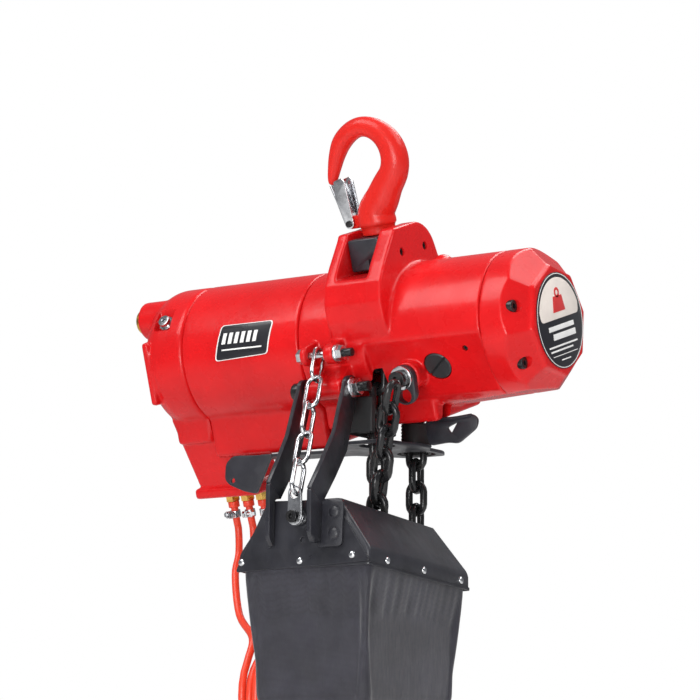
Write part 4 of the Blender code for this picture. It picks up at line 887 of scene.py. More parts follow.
def tapered(low, high, half_high, z_high, low_x, high_x, half_low, z_low):
    """A block whose top and bottom rectangles differ."""
    shape = bmesh.new()
    bmesh.ops.create_cube(shape, size=1)
    for vertex in shape.verts:
        upper = vertex.co.z > 0
        first, last, half = (low, high, half_high) if upper else (low_x, high_x, half_low)
        vertex.co = Vector((
            last if vertex.co.x > 0 else first, math.copysign(half, vertex.co.y), z_high if upper else z_low,
        ))
    bmesh.ops.bevel(shape, geom=shape.edges[:], offset=0.003, segments=3, profile=0.5, affect="EDGES")
    return shape


def make_cover():
    high = X_MOTOR
    profile = rounded(
        [(high, 0), (high, R_BODY), (X_COVER + 0.016, R_BODY), (X_COVER + 0.005, R_BODY - 0.005),
         (X_COVER, R_BODY - 0.014), (X_COVER, 0)], 0.005, 5,
    )
    dish = lathe(profile, ALONG_X, 128)
    leg = tapered(X_COVER + 0.006, high - GAP, CHEST_Y, -0.045, -0.212, -0.160, 0.026, LEG_LOW)
    chest = block((X_COVER + 0.010, -CHEST_Y, -0.070), (high - GAP, CHEST_Y, -0.02), 0.003)
    flange = block((-0.216, -0.030, LEG_LOW - 0.009), (-0.150, 0.030, LEG_LOW + 0.0005), 0.0022)
    boss_end = X_COVER - 0.015
    inlet = rod(0.017, boss_end, X_COVER + 0.02, at(0, -0.016, 0.040) @ ALONG_X, 64, 0.0015)
    exhaust = rod(0.0135, X_COVER - 0.007, X_COVER + 0.002, at(0, -0.030, 0) @ ALONG_X, 64, 0.0012)
    rib = block((-0.223, -0.0610, -0.030), (-0.216, -0.0380, 0.026), 0.0025)
    bolt_pad = rod(0.0085, 0.046, 0.0625, radial(-0.205, 0, 47), 40, 0.0015)
    shell = cast([dish, leg, chest, flange, inlet, exhaust, rib, bolt_pad])
    corner = block((high + 0.0001, -0.1, CHEST_Z - 0.0005), (0.0, 0.1, 0.07))
    first = gather(
        rod(0.0495, X_COVER + 0.007, 0, ALONG_X, 96),
        rod(0.0085, -0.3, -0.222, at(0, -0.016, 0.040) @ ALONG_X, 40),
        block((-0.214, -0.062, 0.034), (-0.196, -0.036, 0.062), 0.002),
        *[rod(0.0042, LEG_LOW - 0.02, LEG_LOW + 0.004, at(x, 0, 0), 32) for x in HOSE_X],
    )
    passage = block((-0.206, -0.018, -0.105), (-0.190, 0.018, -0.03))
    shell = boolean(shell, [corner, first, passage])
    piece("cover_casting", shell, BODY, "red_paint", "hoist_body", ["manifold_cover"], 50)
    plug = gather(
        rod(0.0098, X_COVER - 0.0082, X_COVER - 0.0066, at(0, -0.030, 0) @ ALONG_X, 40, 0.0004),
        *[block((X_COVER - 0.0086, -0.037, z - 0.0007), (X_COVER - 0.0078, -0.023, z + 0.0007))
          for z in (-0.0045, -0.0015, 0.0015, 0.0045)],
    )
    piece("exhaust_grille", plug, BODY, "plastic", "hoist_body")
    bush = lathe(
        [(-0.014, 0.0055), (0.006, 0.0055), (0.006, 0.0105), (0, 0.0105), (0, 0.0078), (-0.014, 0.0078)],
        at(X_COVER - 0.0153, -0.016, 0.040) @ Matrix.Rotation(-math.pi / 2, 4, "Y"), 48, True, 0.0004,
    )
    piece("inlet_bush", bush, BODY, "brass", "hoist_body", ["air_inlet_bush"])
    cover_bolt = gather(
        socket_head(0.0052, 0.0050, 0.0026, radial(-0.205, 0.0575, 47)),
        ring(0.0068, 0.0020, 0.0565, 0.0577, radial(-0.205, 0, 47), 32),
    )
    piece("cover_bolt", cover_bolt, BODY, "zinc", "hoist_body")


def make_cap():
    planes = []
    for k in range(8):
        angle = 22.5 + 45 * k
        planes.append((out_of(angle, 0.0439, 0.1525), out_of(angle, 0.015, 0.0166).normalized()))
    shell = trimmed(rod(R_BODY, X_CAP, 0.1525, sides=128), planes + [taper_plane()])
    land = lathe([(X_END, 0), (X_END, 0.0458), (0.1525, 0.0475), (0.1460, 0.0475), (0.1460, 0)], ALONG_X, 8)
    shell = cast([shell, land], 0.0010, 14)
    angles = (67, 119, 241, 293)
    heads = [rod(0.0052, 0.132, 0.2, at(*out_of(a, 0.0535)) @ ALONG_X, 40) for a in angles]
    shanks = [rod(0.0030, 0.1, 0.14, at(*out_of(a, 0.0535)) @ ALONG_X, 24) for a in angles]
    room = rod(0.0440, 0.1, X_END - 0.007, ALONG_X, 96)
    shell = boolean(shell, [gather(*heads, room), gather(*shanks)])
    piece("cap_casting", shell, BODY, "red_paint", "hoist_body", ["end_cap"], 42)
    screws = [socket_head(0.0050, 0.0050, 0.0024, at(*out_of(a, 0.0535, 0.1390)) @ ALONG_X) for a in angles]
    piece("cap_screws", gather(*screws), BODY, "dark_steel", "hoist_body")


# ---------------------------------------------------------------- suspension

HOOK_BASE = 0.0895
LATCH_X, LATCH_Z = -0.0235, 0.1015
HOOK_LINE = [  # across, above the barrel's axis, radius, from the neck to the tip
    (0.000, 0.0895, 0.0143), (0.000, 0.0960, 0.0148), (0.000, 0.0990, 0.0166), (0.0005, 0.1085, 0.0160),
    (0.0085, 0.1190, 0.0148), (0.0155, 0.1290, 0.0135), (0.0235, 0.1390, 0.0126), (0.0268, 0.1500, 0.0122),
    (0.0250, 0.1620, 0.0114), (0.0185, 0.1722, 0.0102), (0.0085, 0.1790, 0.0090), (-0.0025, 0.1810, 0.0085),
    (-0.0130, 0.1775, 0.0086), (-0.0225, 0.1700, 0.0085), (-0.0290, 0.1600, 0.0073),
    (-0.0335, 0.1500, 0.0060),
    (-0.0370, 0.1410, 0.0046), (-0.0385, 0.1365, 0.0030),
]


def make_hook(name, matrix, body, origin, flip, shank, node):
    """A forged hook with its neck at the origin; flip is 1 upwards and -1 downwards."""
    line = smooth(HOOK_LINE, 4)
    x, y, z = origin
    points = [(x + p.x, y, z + flip * (p.y - HOOK_BASE)) for p in line]
    bow = tube(points, [p.z for p in line], 32, squash=(Vector((0, 1, 0)), 0.9))
    low, high = sorted((z - flip * shank, z + flip * 0.012))
    stem = rod(0.0078, low, high, at(x, y, 0), 48)
    ear_low, ear_high = sorted((z + flip * 0.0072, z + flip * 0.0185))
    nose = block((x - 0.0275, y - 0.0042, ear_low), (x - 0.010, y + 0.0042, ear_high), 0.002)
    hook = cast([bow, stem, nose], 0.0008, 6)
    pin_z = z + flip * (LATCH_Z - HOOK_BASE)
    hook = boolean(hook, [rod(0.0018, -0.02, 0.02, at(x + LATCH_X, y, pin_z) @ ALONG_Y, 24)])
    piece(name, hook, matrix, "hook_paint", body, [node], 60)


def make_latch(name, matrix, body, pin_body, origin, flip, node, pin_node):
    """A folded latch: two cheeks either side of the hook's nose, and a web that meets the hook's tip."""
    lean, length = math.radians(14), 0.0385
    x, z = origin[0] + LATCH_X, origin[2] + flip * (LATCH_Z - HOOK_BASE)
    way = Vector((math.cos(lean), 0, flip * math.sin(lean)))
    up = Vector((-math.sin(lean), 0, flip * math.cos(lean)))
    turn = Matrix((way, (0, flip, 0), up)).transposed().to_4x4()
    home = at(x, origin[1], z) @ turn
    side = [(-0.0042, -0.0010), (-0.0030, -0.0035), (0, -0.0045), (0.0030, -0.0035), (0.0042, -0.001),
            (0.0105, length - 0.004), (0.0085, length), (0.0002, length), (-0.0042, length * 0.6)]
    cheeks = [plate(side, 0.0016, home @ at(0, y, 0) @ UPRIGHT, [circle(0.0018, 20)], 0.0003, 0.0015)
              for y in (-0.0067, 0.0067)]
    web = plate(
        [(-0.0070, 0.0085), (0.0070, 0.0085), (0.0070, length - 0.001), (-0.0070, length - 0.001)], 0.0012,
        home @ at(-0.0030, 0, 0) @ Matrix.Rotation(-0.04, 4, "Y") @ SIDEWAYS, (), 0.0003, 0.002,
    )
    piece(name, gather(*cheeks, web), matrix, "zinc", body, [node])
    across = at(x, origin[1], z) @ ALONG_Y
    pin = gather(
        rod(0.0015, -0.0088, 0.0088, across, 24),
        rod(0.0028, -0.0092, -0.0078, across, 24, 0.0004), rod(0.0028, 0.0078, 0.0092, across, 24, 0.0004),
    )
    piece(f"{name}_rivet", pin, matrix, "dark_steel", pin_body, [pin_node])


def make_suspension():
    base = (0, 0, HOOK_BASE)
    make_hook("suspension_hook", BODY, "top_hook_swivel", base, 1, 0.0395, "top_hook")
    make_latch("suspension_latch", BODY, "top_latch_flap", "top_hook_swivel", base, 1, "top_latch",
               "top_latch_pin")
    yoke = block((-0.0150, -0.029, 0.0620), (0.0150, 0.029, 0.0888), 0.0014)
    cuts = gather(
        rod(0.0082, 0.05, 0.1, Matrix(), 48),
        *[rod(0.0036, -0.05, 0.05, at(0, side * YOKE_BOLT_Y, YOKE_BOLT_Z) @ ALONG_X, 32) for side in (1, -1)],
        block((0.0030, -0.0300, 0.0610), (0.0120, -0.0262, 0.0715), 0.0004),
    )
    piece("yoke_block", boolean(yoke, [cuts]), BODY, "plate_black", "hoist_body", ["hook_yoke"], edge=0.0003)
    for i, side in enumerate((-1, 1)):
        place = at(0, side * YOKE_BOLT_Y, YOKE_BOLT_Z)
        screw = gather(rod(0.0033, -0.0235, 0.0262, place @ ALONG_X, 32, 0.0004),
                       socket_head(0.0034, 0.0030, 0.0018, place @ at(0.0262, 0, 0) @ ALONG_X))
        piece(f"yoke_socket_screw_{i + 1}", screw, BODY, "dark_steel", "hoist_body", [f"yoke_screw_{i + 1}"])
    nut = hexagon(0.0204, 0.0082, 0.0107, at(0, 0, 0.0505))
    piece("swivel_nut", nut, BODY, "steel", "top_hook_swivel", ["hook_nut"])


make_hoses()
make_pendant()
make_centre_body()
make_motor_casting()
make_cover()
make_cap()
make_suspension()

# ---------------------------------------------------------------- chains

WIDE_X, WIDE_Y = Vector((1, 0, 0)), Vector((0, 1, 0))


def link_line(pitch, wire, width, bend=8):
    """The middle line of one link, upright in XZ."""
    radius = (width - wire) / 2
    half = (pitch + wire) / 2 - radius
    upper = [(x, 0, z + half) for x, z in arc(radius, 0, 180, bend)]
    lower = [(x, 0, z - half) for x, z in arc(radius, 180, 360, bend)]
    return upper + lower


def chain_shape(places, pitch, wire, width, sides=14):
    """Links at (centre, direction along the link, direction across its width), each with its weld."""
    links = []
    middle = (width - wire) / 2
    for i, (centre, along, wide) in enumerate(places):
        link = tube(link_line(pitch, wire, width), wire / 2, sides, True)
        for vertex in link.verts:
            if abs(vertex.co.z) < 0.0030 and vertex.co.x > 0:
                vertex.co += (vertex.co - Vector((middle, 0, vertex.co.z))) * 0.06
        along = Vector(along).normalized()
        flat = along.cross(Vector(wide)).normalized()
        twist = Matrix.Rotation(0.06 if i % 2 else -0.06, 3, "Z")
        turn = Matrix((flat.cross(along), flat, along)).transposed() @ twist
        links.append(moved(link, Matrix.Translation(centre) @ turn.to_4x4()))
    return gather(*links)


def strand_places(top, bottom, y, wides):
    """Links that hang straight down."""
    count = int(round((top - bottom) / CHAIN_PITCH)) + 1
    return [((0, y, top - i * CHAIN_PITCH), (0, 0, 1), wides[i % 2]) for i in range(count)]


def wrapped_places():
    """Links half round the lift wheel."""
    places = []
    for i in range(6):
        angle = math.radians(i * 36)
        centre = (0, -R_SHEAVE * math.cos(angle), R_SHEAVE * math.sin(angle))
        radial_way = Vector((0, -math.cos(angle), math.sin(angle)))
        places.append((centre, (0, math.sin(angle), math.cos(angle)), radial_way if i % 2 else WIDE_X))
    return places


ANCHOR_PATH = [
    (0.042, -0.0755, -0.0640), (0.030, -0.0660, -0.095), (0.012, -0.052, -0.160), (0.0095, -0.050, -0.182),
]


def along_path(points, pitch, wides, count):
    """Link centres a pitch apart along a smooth line through points."""
    line = smooth(points, 24)
    walked, places, goal = 0.0, [], 0.0
    for a, b in zip(line, line[1:]):
        step = (b - a).length
        while walked + step >= goal and len(places) < count:
            places.append((a + (b - a) * ((goal - walked) / step), b - a, wides[len(places) % 2]))
            goal += pitch
        walked += step
    return places


STOP_PLUMB = Vector((
    STOP_BOLT[0] * math.cos(TILT) - STOP_BOLT[1] * math.sin(TILT),
    STOP_BOLT[0] * math.sin(TILT) + STOP_BOLT[1] * math.cos(TILT),
))
STRAP_X, STRAP_Y, STRAP_Z, STRAP_LENGTH = -0.003, -0.1440, -0.165, 0.019
BITE = 0.0012  # how far the retaining chain's links are let into each other


def make_chains():
    slack = strand_places(-CHAIN_PITCH, SLACK_END, -R_SHEAVE, (WIDE_Y, WIDE_X))
    load = strand_places(-CHAIN_PITCH, STRAND_END, R_SHEAVE, (WIDE_X, WIDE_Y))
    places = list(reversed(slack)) + wrapped_places() + load
    shape = chain_shape(places, CHAIN_PITCH - 0.0004, CHAIN_WIRE, CHAIN_WIDTH)
    piece("load_chain_links", shape, PLUMB, "dark_steel", "hoist_body", ["load_chain"], 60)
    places = along_path(ANCHOR_PATH, CHAIN_PITCH, (WIDE_Y, WIDE_X), 7)
    shape = chain_shape(places, CHAIN_PITCH - 0.0004, CHAIN_WIRE, CHAIN_WIDTH)
    piece("anchor_chain_links", shape, PLUMB, "dark_steel", "hoist_body", ["anchor_chain"], 60)
    pin = Vector((-0.0310, *STOP_PLUMB))
    hole = Vector((STRAP_X, STRAP_Y - 0.0032, STRAP_Z + STRAP_LENGTH))
    along = (hole - pin).normalized()
    start = pin - along * (0.0033 + ZINC_WIRE / 2 + GAP)
    inner = ((hole - start).length - ZINC_WIRE + BITE) / 5
    first = start + along * (inner - BITE + ZINC_WIRE) / 2
    places = [(first + along * inner * i, along, (WIDE_Y, WIDE_X)[i % 2]) for i in range(5)]
    shape = chain_shape(places, inner - BITE, ZINC_WIRE, 0.0168)
    piece("retaining_links", shape, PLUMB, "zinc", "bag_chain", ["retaining_chain"], 60)


def make_anchor():
    outline = arc(0.0105, 0, 180, 14) + arc(0.0105, 180, 360, 14, 0, -0.012)
    yoke = plate(outline, 0.0068, at(ANCHOR_X, -0.0677, ANCHOR_Z) @ UPRIGHT, [circle(0.0048)], 0.0012)
    eye = rod(0.0062, -0.02, 0.02, at(ANCHOR_X, -0.0677, ANCHOR_Z - 0.0150) @ ALONG_Y, 32)
    piece("anchor_shackle", boolean(yoke, [eye]), BODY, "plate_black", "hoist_body", ["anchor_yoke"])
    face = at(ANCHOR_X, -0.0735, ANCHOR_Z)
    head = socket_head(0.0072, 0.0075, 0.0034, face @ UPRIGHT)
    shank = rod(0.0043, -0.001, 0.0200, face @ ALONG_Y, 32)
    piece("anchor_screw", gather(head, shank), BODY, "dark_steel", "hoist_body", ["anchor_bolt"])
    washer = ring(0.0100, 0.0046, -0.0001, 0.0022, face @ ALONG_Y, 48, 0.0004)
    piece("anchor_washer", washer, BODY, "zinc", "hoist_body")
    stop = at(0, *STOP_BOLT)
    parts = gather(
        rod(0.0033, -0.0480, -0.0015, stop @ ALONG_X, 24, 0.0004),
        hexagon(0.0108, 0, 0.0045, stop @ at(-0.0508, 0, 0) @ ALONG_X),
        ring(0.0078, 0.0034, -0.0135, -0.0121, stop @ ALONG_X, 40, 0.0003),
        hexagon(0.0112, 0.0033, 0.0056, stop @ at(-0.0121, 0, 0) @ ALONG_X),
    )
    piece("stop_screw", parts, BODY, "zinc", "hoist_body", ["stop_bolt"])
    end = rod(0.0036, -0.0066, 0.0018, stop @ ALONG_X, 32, 0.0006)
    piece("stop_screw_end", end, BODY, "dark_steel", "hoist_body")
    centre = at(0, *BAG_PIN_BODY)
    pin = gather(
        rod(0.0042, -0.0560, 0.0080, centre @ ALONG_X, 40),
        lathe([(-0.0545, 0), (-0.0545, 0.0078), (-0.0610, 0.0078), (-0.0635, 0.0052), (-0.0635, 0)],
              centre @ ALONG_X, 48, soft=0.0008),
    )
    piece("bracket_pin", pin, BODY, "dark_steel", "hoist_body", ["bag_pin"])
    crests = [(0.0118 - 0.0007 * k, 0.0037 if k % 2 else 0.0043) for k in range(10)]
    profile = [(0.0120, 0), (0.0120, 0.0034), *crests, (0.0040, 0.0040), (0.0040, 0)]
    piece("bracket_pin_thread", lathe(profile, centre @ ALONG_X, 32), BODY, "dark_steel", "hoist_body")
    nut = gather(
        ring(0.0088, 0.0043, -0.0046, -0.0032, centre @ ALONG_X, 40, 0.0003),
        hexagon(0.0126, 0.0042, 0.0068, centre @ at(-0.0032, 0, 0) @ ALONG_X),
    )
    piece("bracket_nut", nut, BODY, "zinc", "hoist_body")


# ---------------------------------------------------------------- bag

RIM_FRONT, RIM_BACK, BAND = -0.2045, -0.2150, 0.0130  # the hood's lower edge slopes back, as its weight hangs
MOUTH_LOW_BACK = -0.163


def rim_at(y):
    """Height of the hood's lower edge at a depth y."""
    return RIM_FRONT + (RIM_BACK - RIM_FRONT) * (y - HOOD_FRONT) / (HOOD_BACK - HOOD_FRONT)


FRONT_LEAN = -math.atan((MOUTH_FRONT - HOOD_FRONT) / (HOOD_TOP - HOOD_BAND))
FRONT_FACE = at(0, HOOD_FRONT, HOOD_BAND) @ Matrix.Rotation(FRONT_LEAN, 4, "X")


def on_front(x, z, out):
    """A place on the hood's front plate, its +Z pointing out of the plate."""
    return FRONT_FACE @ at(x, -out, z - HOOD_BAND) @ UPRIGHT


def loop_points(half_x, front, back, corner, count):
    """Points evenly spaced round a rounded rectangle."""
    corners = [(half_x, front), (half_x, back), (-half_x, back), (-half_x, front)]
    outline = [Vector(p) for p in rounded(corners, corner, 8, True)]
    sides = list(zip(outline, outline[1:] + outline[:1]))
    total = sum((b - a).length for a, b in sides)
    made, walked, goal = [], 0.0, 0.0
    for a, b in sides:
        step = (b - a).length
        while step and walked + step > goal and len(made) < count:
            made.append(tuple(a + (b - a) * ((goal - walked) / step)))
            goal += total / count
        walked += step
    return made


def shell_shape(loops, thickness):
    """A four-sided shell through rectangles of (half width, front, back, front height, back height)."""
    shape = bmesh.new()
    rows = []
    for half_x, front, back, z_front, z_back in loops:
        heights = (z_front, z_front, z_back, z_back)
        corners = rectangle(-half_x, half_x, front, back)
        rows.append([shape.verts.new((*corner, z)) for corner, z in zip(corners, heights)])
    for upper, lower in zip(rows, rows[1:]):
        for i in range(4):
            j = (i + 1) % 4
            shape.faces.new((upper[i], lower[i], lower[j], upper[j]))
    bmesh.ops.recalc_face_normals(shape, faces=shape.faces)
    upright = [e for e in shape.edges if len(e.link_faces) == 2]
    bmesh.ops.bevel(shape, geom=upright, offset=0.0028, segments=4, profile=0.5, affect="EDGES")
    obj = work(shape)
    wall = obj.modifiers.new("wall", "SOLIDIFY")
    wall.thickness, wall.offset, wall.use_even_offset = thickness, -1, True
    return baked(obj)


def make_hood():
    hood = shell_shape([
        (MOUTH_X, MOUTH_FRONT, MOUTH_BACK, HOOD_TOP, MOUTH_LOW_BACK),
        (HOOD_X, HOOD_FRONT, HOOD_BACK, RIM_FRONT + BAND, RIM_BACK + BAND),
        (HOOD_X, HOOD_FRONT, HOOD_BACK, RIM_FRONT, RIM_BACK),
    ], 0.0016)
    piece("hood", hood, PLUMB, "plate_black", "bag", ["bag_hood"], edge=0.0004)
    outline = [(-0.0645, -0.2062), (0.0640, -0.2025), (0.0290, -0.1525), (-0.0350, -0.1500)]
    face = plate(
        [(x, z - HOOD_BAND) for x, z in outline], 0.0014, FRONT_FACE @ at(0, -0.0008, 0) @ UPRIGHT,
        [circle(0.0024, 20, 0.0, -0.1828 - HOOD_BAND)], 0.0004, 0.004,
    )
    piece("hood_front_plate", face, PLUMB, "black_paint", "bag", flat=True)
    outline = [(-0.0600, -0.010), (0.0600, -0.010), (0.0330, 0.036), (-0.0330, 0.036)]
    back_lean = Matrix.Rotation(math.atan(0.007 / 0.039), 4, "X")
    back_face = at(0, HOOD_BACK + 0.0006, RIM_BACK + BAND) @ back_lean @ UPRIGHT
    back = plate(outline, 0.0012, back_face, (), 0.0003, 0.004)
    piece("hood_back_plate", back, PLUMB, "black_paint", "bag", flat=True)
    outside, inside = [
        rounded(rectangle(-HOOD_X - grow, HOOD_X + grow, HOOD_FRONT - grow, HOOD_BACK + grow), bend, 4, True)
        for grow, bend in ((0.0009, 0.004), (-0.0005, 0.003))
    ]
    rim = plate(outside, 0.0026, Matrix(), [inside], 0.0004)
    for vertex in rim.verts:
        vertex.co.z += rim_at(vertex.co.y) + 0.0006
    piece("hood_rim", rim, PLUMB, "black_paint", "bag")
    rivets = [dome(0.0031, 0.0017, on_front(x, z, 0.0013)) for x, z in
              ((-0.0584, -0.1982), (-0.0023, -0.1994), (0.0467, -0.1969))]
    for y in (-0.1140, -0.0590, -0.0008):
        for side in (1, -1):
            outward = Matrix.Rotation(side * math.pi / 2, 4, "Y")
            rivets.append(dome(0.0031, 0.0017, at(side * HOOD_X, y, rim_at(y) + 0.0060) @ outward))
    for x in (-0.048, 0.0, 0.048):
        rivets.append(dome(0.0031, 0.0017, at(x, HOOD_BACK + 0.0008, RIM_BACK + 0.0065) @ ALONG_Y))
    piece("hood_rivets", gather(*rivets), PLUMB, "zinc", "bag")
    big = []
    for z in (-0.1625, -0.1795):
        big.append(dome(0.0048, 0.0018, on_front(0.0305, z, 0.0040)))
        big.append(ring(0.0058, 0.0040, -0.0002, 0.0004, on_front(0.0305, z, 0.0040), 32))
    piece("foot_rivets", gather(*big), PLUMB, "plate_black", "bag")


ARM_HALF = 0.002  # half the thickness of an arm's plate
ARMS = (  # name, X at the pin, X at the foot, which way is out, and the knee's Y and Z
    ("left", -0.0520, -0.0290, -1, -0.1400, -0.1420), ("right", -0.0070, 0.0170, 1, -0.1497, -0.1500),
)


def arm_shape(x_top, x_low, knee_y, knee_z):
    """An arm from the pin down to the knee, and the web that carries on below it to the hood."""
    line = [  # Y, Z, how far along from x_top to x_low, and half the width
        (*BAG_PIN, 0, 0.0098), (-0.0800, -0.0750, 0.27, 0.0108), (-0.098, -0.100, 0.55, 0.0112),
        (-0.049 + knee_y * 0.5, -0.050 + knee_z * 0.5, 0.8, 0.0108), (knee_y, knee_z, 1, 0.0100),
    ]
    shape = bmesh.new()
    rows = []
    for y, z, share, half in line:
        x = x_top * (1 - share) + x_low * share
        across = Vector((0, -0.78, 0.62)) * half
        corners = rectangle(x - ARM_HALF, x + ARM_HALF, -1, 1)
        rows.append([shape.verts.new((cx, y + s * across.y, z + s * across.z)) for cx, s in corners])
    bridge(shape, rows)
    shape.faces.new(rows[0])
    shape.faces.new(rows[-1])
    bmesh.ops.recalc_face_normals(shape, faces=shape.faces)
    pin = at(0, *BAG_PIN) @ ALONG_X
    eye = rod(0.0100, x_top - ARM_HALF, x_top + ARM_HALF, pin, 48)
    bored = [boolean(part, [rod(0.0046, -0.1, 0.1, pin, 32)]) for part in (shape, eye)]
    front = knee_y - 0.0082
    outline = [
        (front + 0.0004, knee_z + 0.0062), (knee_y + 0.0070, knee_z - 0.0050), (-0.1405, knee_z - 0.0080),
        (-0.1410, -0.1865), (front + 0.0050, -0.1870), (front, -0.1800),
    ]
    web = plate(outline, 2 * ARM_HALF, at(x_low, 0, 0) @ SIDEWAYS, (), 0.0003, 0.003)
    return gather(*bored, web)


def make_arms():
    """The two arms, welded to the hood, and the right one's riveted foot."""
    welds = []
    for name, x_top, x_low, side, knee_y, knee_z in ARMS:
        arm = arm_shape(x_top, x_low, knee_y, knee_z)
        piece(f"bracket_arm_{name}", arm, PLUMB, "black_paint", "bag", [f"bag_arm_{name}"], edge=0.0005)
        weld_x = x_low + side * 0.0030
        weld = [on_front(weld_x, z, 0.0010).translation for z in (-0.160, -0.170, -0.180, -0.188)]
        welds.append(tube(smooth(weld, 4), 0.0019, 10))
    foot_outline = [(x, z - HOOD_BAND) for x, z in
                    ((x_low - ARM_HALF, -0.1530), (x_low + 0.0215, -0.1530),
                     (x_low + 0.0215, -0.1900), (x_low - ARM_HALF, -0.1900))]
    foot = plate(foot_outline, 0.0030, FRONT_FACE @ at(0, -0.0026, 0) @ UPRIGHT, (), 0.0005, 0.0045)
    piece("bracket_foot", foot, PLUMB, "plate_black", "bag")
    piece("arm_welds", gather(*welds), PLUMB, "black_paint", "bag")
    outline = arc(0.0062, 0, 180, 14, 0, STRAP_LENGTH) + arc(0.0068, 180, 360, 14)
    strap = plate(outline, 0.002, at(STRAP_X, STRAP_Y - 0.0032, STRAP_Z) @ UPRIGHT,
                  [circle(0.0030), circle(0.0044, 32, 0, STRAP_LENGTH)], 0.0004)
    spacer = ring(0.0068, 0.0030, -0.0022, 0.0030, at(STRAP_X, STRAP_Y, STRAP_Z) @ ALONG_Y, 40, 0.0003)
    piece("strap", gather(strap, spacer), PLUMB, "zinc", "bag", ["chain_strap"])
    bolt = socket_head(0.0050, 0.0050, 0.0025, at(STRAP_X, STRAP_Y - 0.0042, STRAP_Z) @ UPRIGHT)
    piece("strap_screw", bolt, PLUMB, "dark_steel", "bag")


SAG_LIMIT = 0.007


def make_bag():
    """The sewn bag: a rounded box of cloth clamped under the hood, let sag by a short simulation."""
    inset = 0.0020
    count = 128
    shape = bmesh.new()
    levels = []
    top, knee = 0.010, BAG_LOW + 0.020
    steps = 30
    for i in range(steps + 1):
        t = i / steps
        levels.append((t, inset + 0.0015 * t, 0.006 + 0.004 * t))
    for i in range(1, 7):
        a = math.pi / 2 * i / 6
        levels.append((1 + math.sin(a), inset + 0.0015 + 0.016 * (1 - math.cos(a)), 0.010 + 0.006 * i / 6))
    rows = []
    for t, pull, corner in levels:
        points = loop_points(HOOD_X - pull, HOOD_FRONT + pull, HOOD_BACK - pull, corner, count)
        row = []
        for x, y in points:
            start = rim_at(y) + top
            z = start + (knee - start) * t if t <= 1 else knee - 0.019 * (t - 1)
            row.append(shape.verts.new((x, y, z)))
        rows.append(row)
    middle_y = (HOOD_FRONT + HOOD_BACK) / 2
    for k in range(1, 12):
        shrink = 1 - k / 12
        z = BAG_LOW + 0.001
        rows.append([shape.verts.new((v.co.x * shrink, middle_y + (v.co.y - middle_y) * shrink, z))
                     for v in rows[len(levels) - 1]])
    centre = shape.verts.new((0, middle_y, BAG_LOW + 0.001))
    bridge(shape, rows)
    for i in range(count):
        shape.faces.new((rows[-1][i], rows[-1][(i + 1) % count], centre))
    bmesh.ops.recalc_face_normals(shape, faces=shape.faces)
    shape.verts.index_update()
    held = [v.index for row in rows[:4] for v in row]
    obj = work(shape)
    start = [v.co.copy() for v in obj.data.vertices]
    group = obj.vertex_groups.new(name="held")
    group.add(held, 1.0, "REPLACE")
    cloth = obj.modifiers.new("cloth", "CLOTH")
    cloth.settings.quality = 6
    cloth.settings.mass = 0.25
    cloth.settings.tension_stiffness = 40
    cloth.settings.compression_stiffness = 40
    cloth.settings.bending_stiffness = 1.2
    cloth.settings.vertex_group_mass = "held"
    cloth.settings.shrink_min = -0.022
    cloth.settings.use_pressure = True
    cloth.settings.uniform_pressure_force = 0.5
    cloth.point_cache.frame_start, cloth.point_cache.frame_end = 1, 24
    for step in range(1, 25):
        SCENE.frame_set(step)
    shape = baked(obj)
    shape.verts.ensure_lookup_table()
    for vertex, home in zip(shape.verts, start):
        move = vertex.co - home
        if move.length > SAG_LIMIT:
            vertex.co = home + move * (SAG_LIMIT / move.length)
    SCENE.frame_set(1)
    obj = work(shape)
    wall = obj.modifiers.new("wall", "SOLIDIFY")
    wall.thickness, wall.offset = 0.0012, -1
    fine = obj.modifiers.new("fine", "SUBSURF")
    fine.levels = fine.render_levels = 1
    piece("bag_cloth", baked(obj), PLUMB, "fabric", "bag", ["chain_bag"], 70)


def make_pile():
    """The heap of slack chain in the bag."""
    pile = []
    rng = random.Random(11)
    for i in range(64):
        a, r, h = rng.uniform(0, math.tau), math.sqrt(rng.uniform(0, 1)), rng.uniform(0, 1)
        x, y = 0.033 * r * math.cos(a), -0.063 + 0.043 * r * math.sin(a)
        z = -0.302 + 0.048 * h * (1 - 0.4 * r)
        along = Vector((rng.uniform(-1, 1), rng.uniform(-1, 1), rng.uniform(-0.5, 0.5))).normalized()
        pile.append(((x, y, z), along, along.cross(Vector((0.2, 0.3, 1))).normalized()))
    shape = chain_shape(pile, CHAIN_PITCH, CHAIN_WIRE, CHAIN_WIDTH, 10)
    piece("piled_links", shape, PLUMB, "chain_steel", "bag", ["chain_pile"], 60)


# ---------------------------------------------------------------- limit lever, bumper, load block


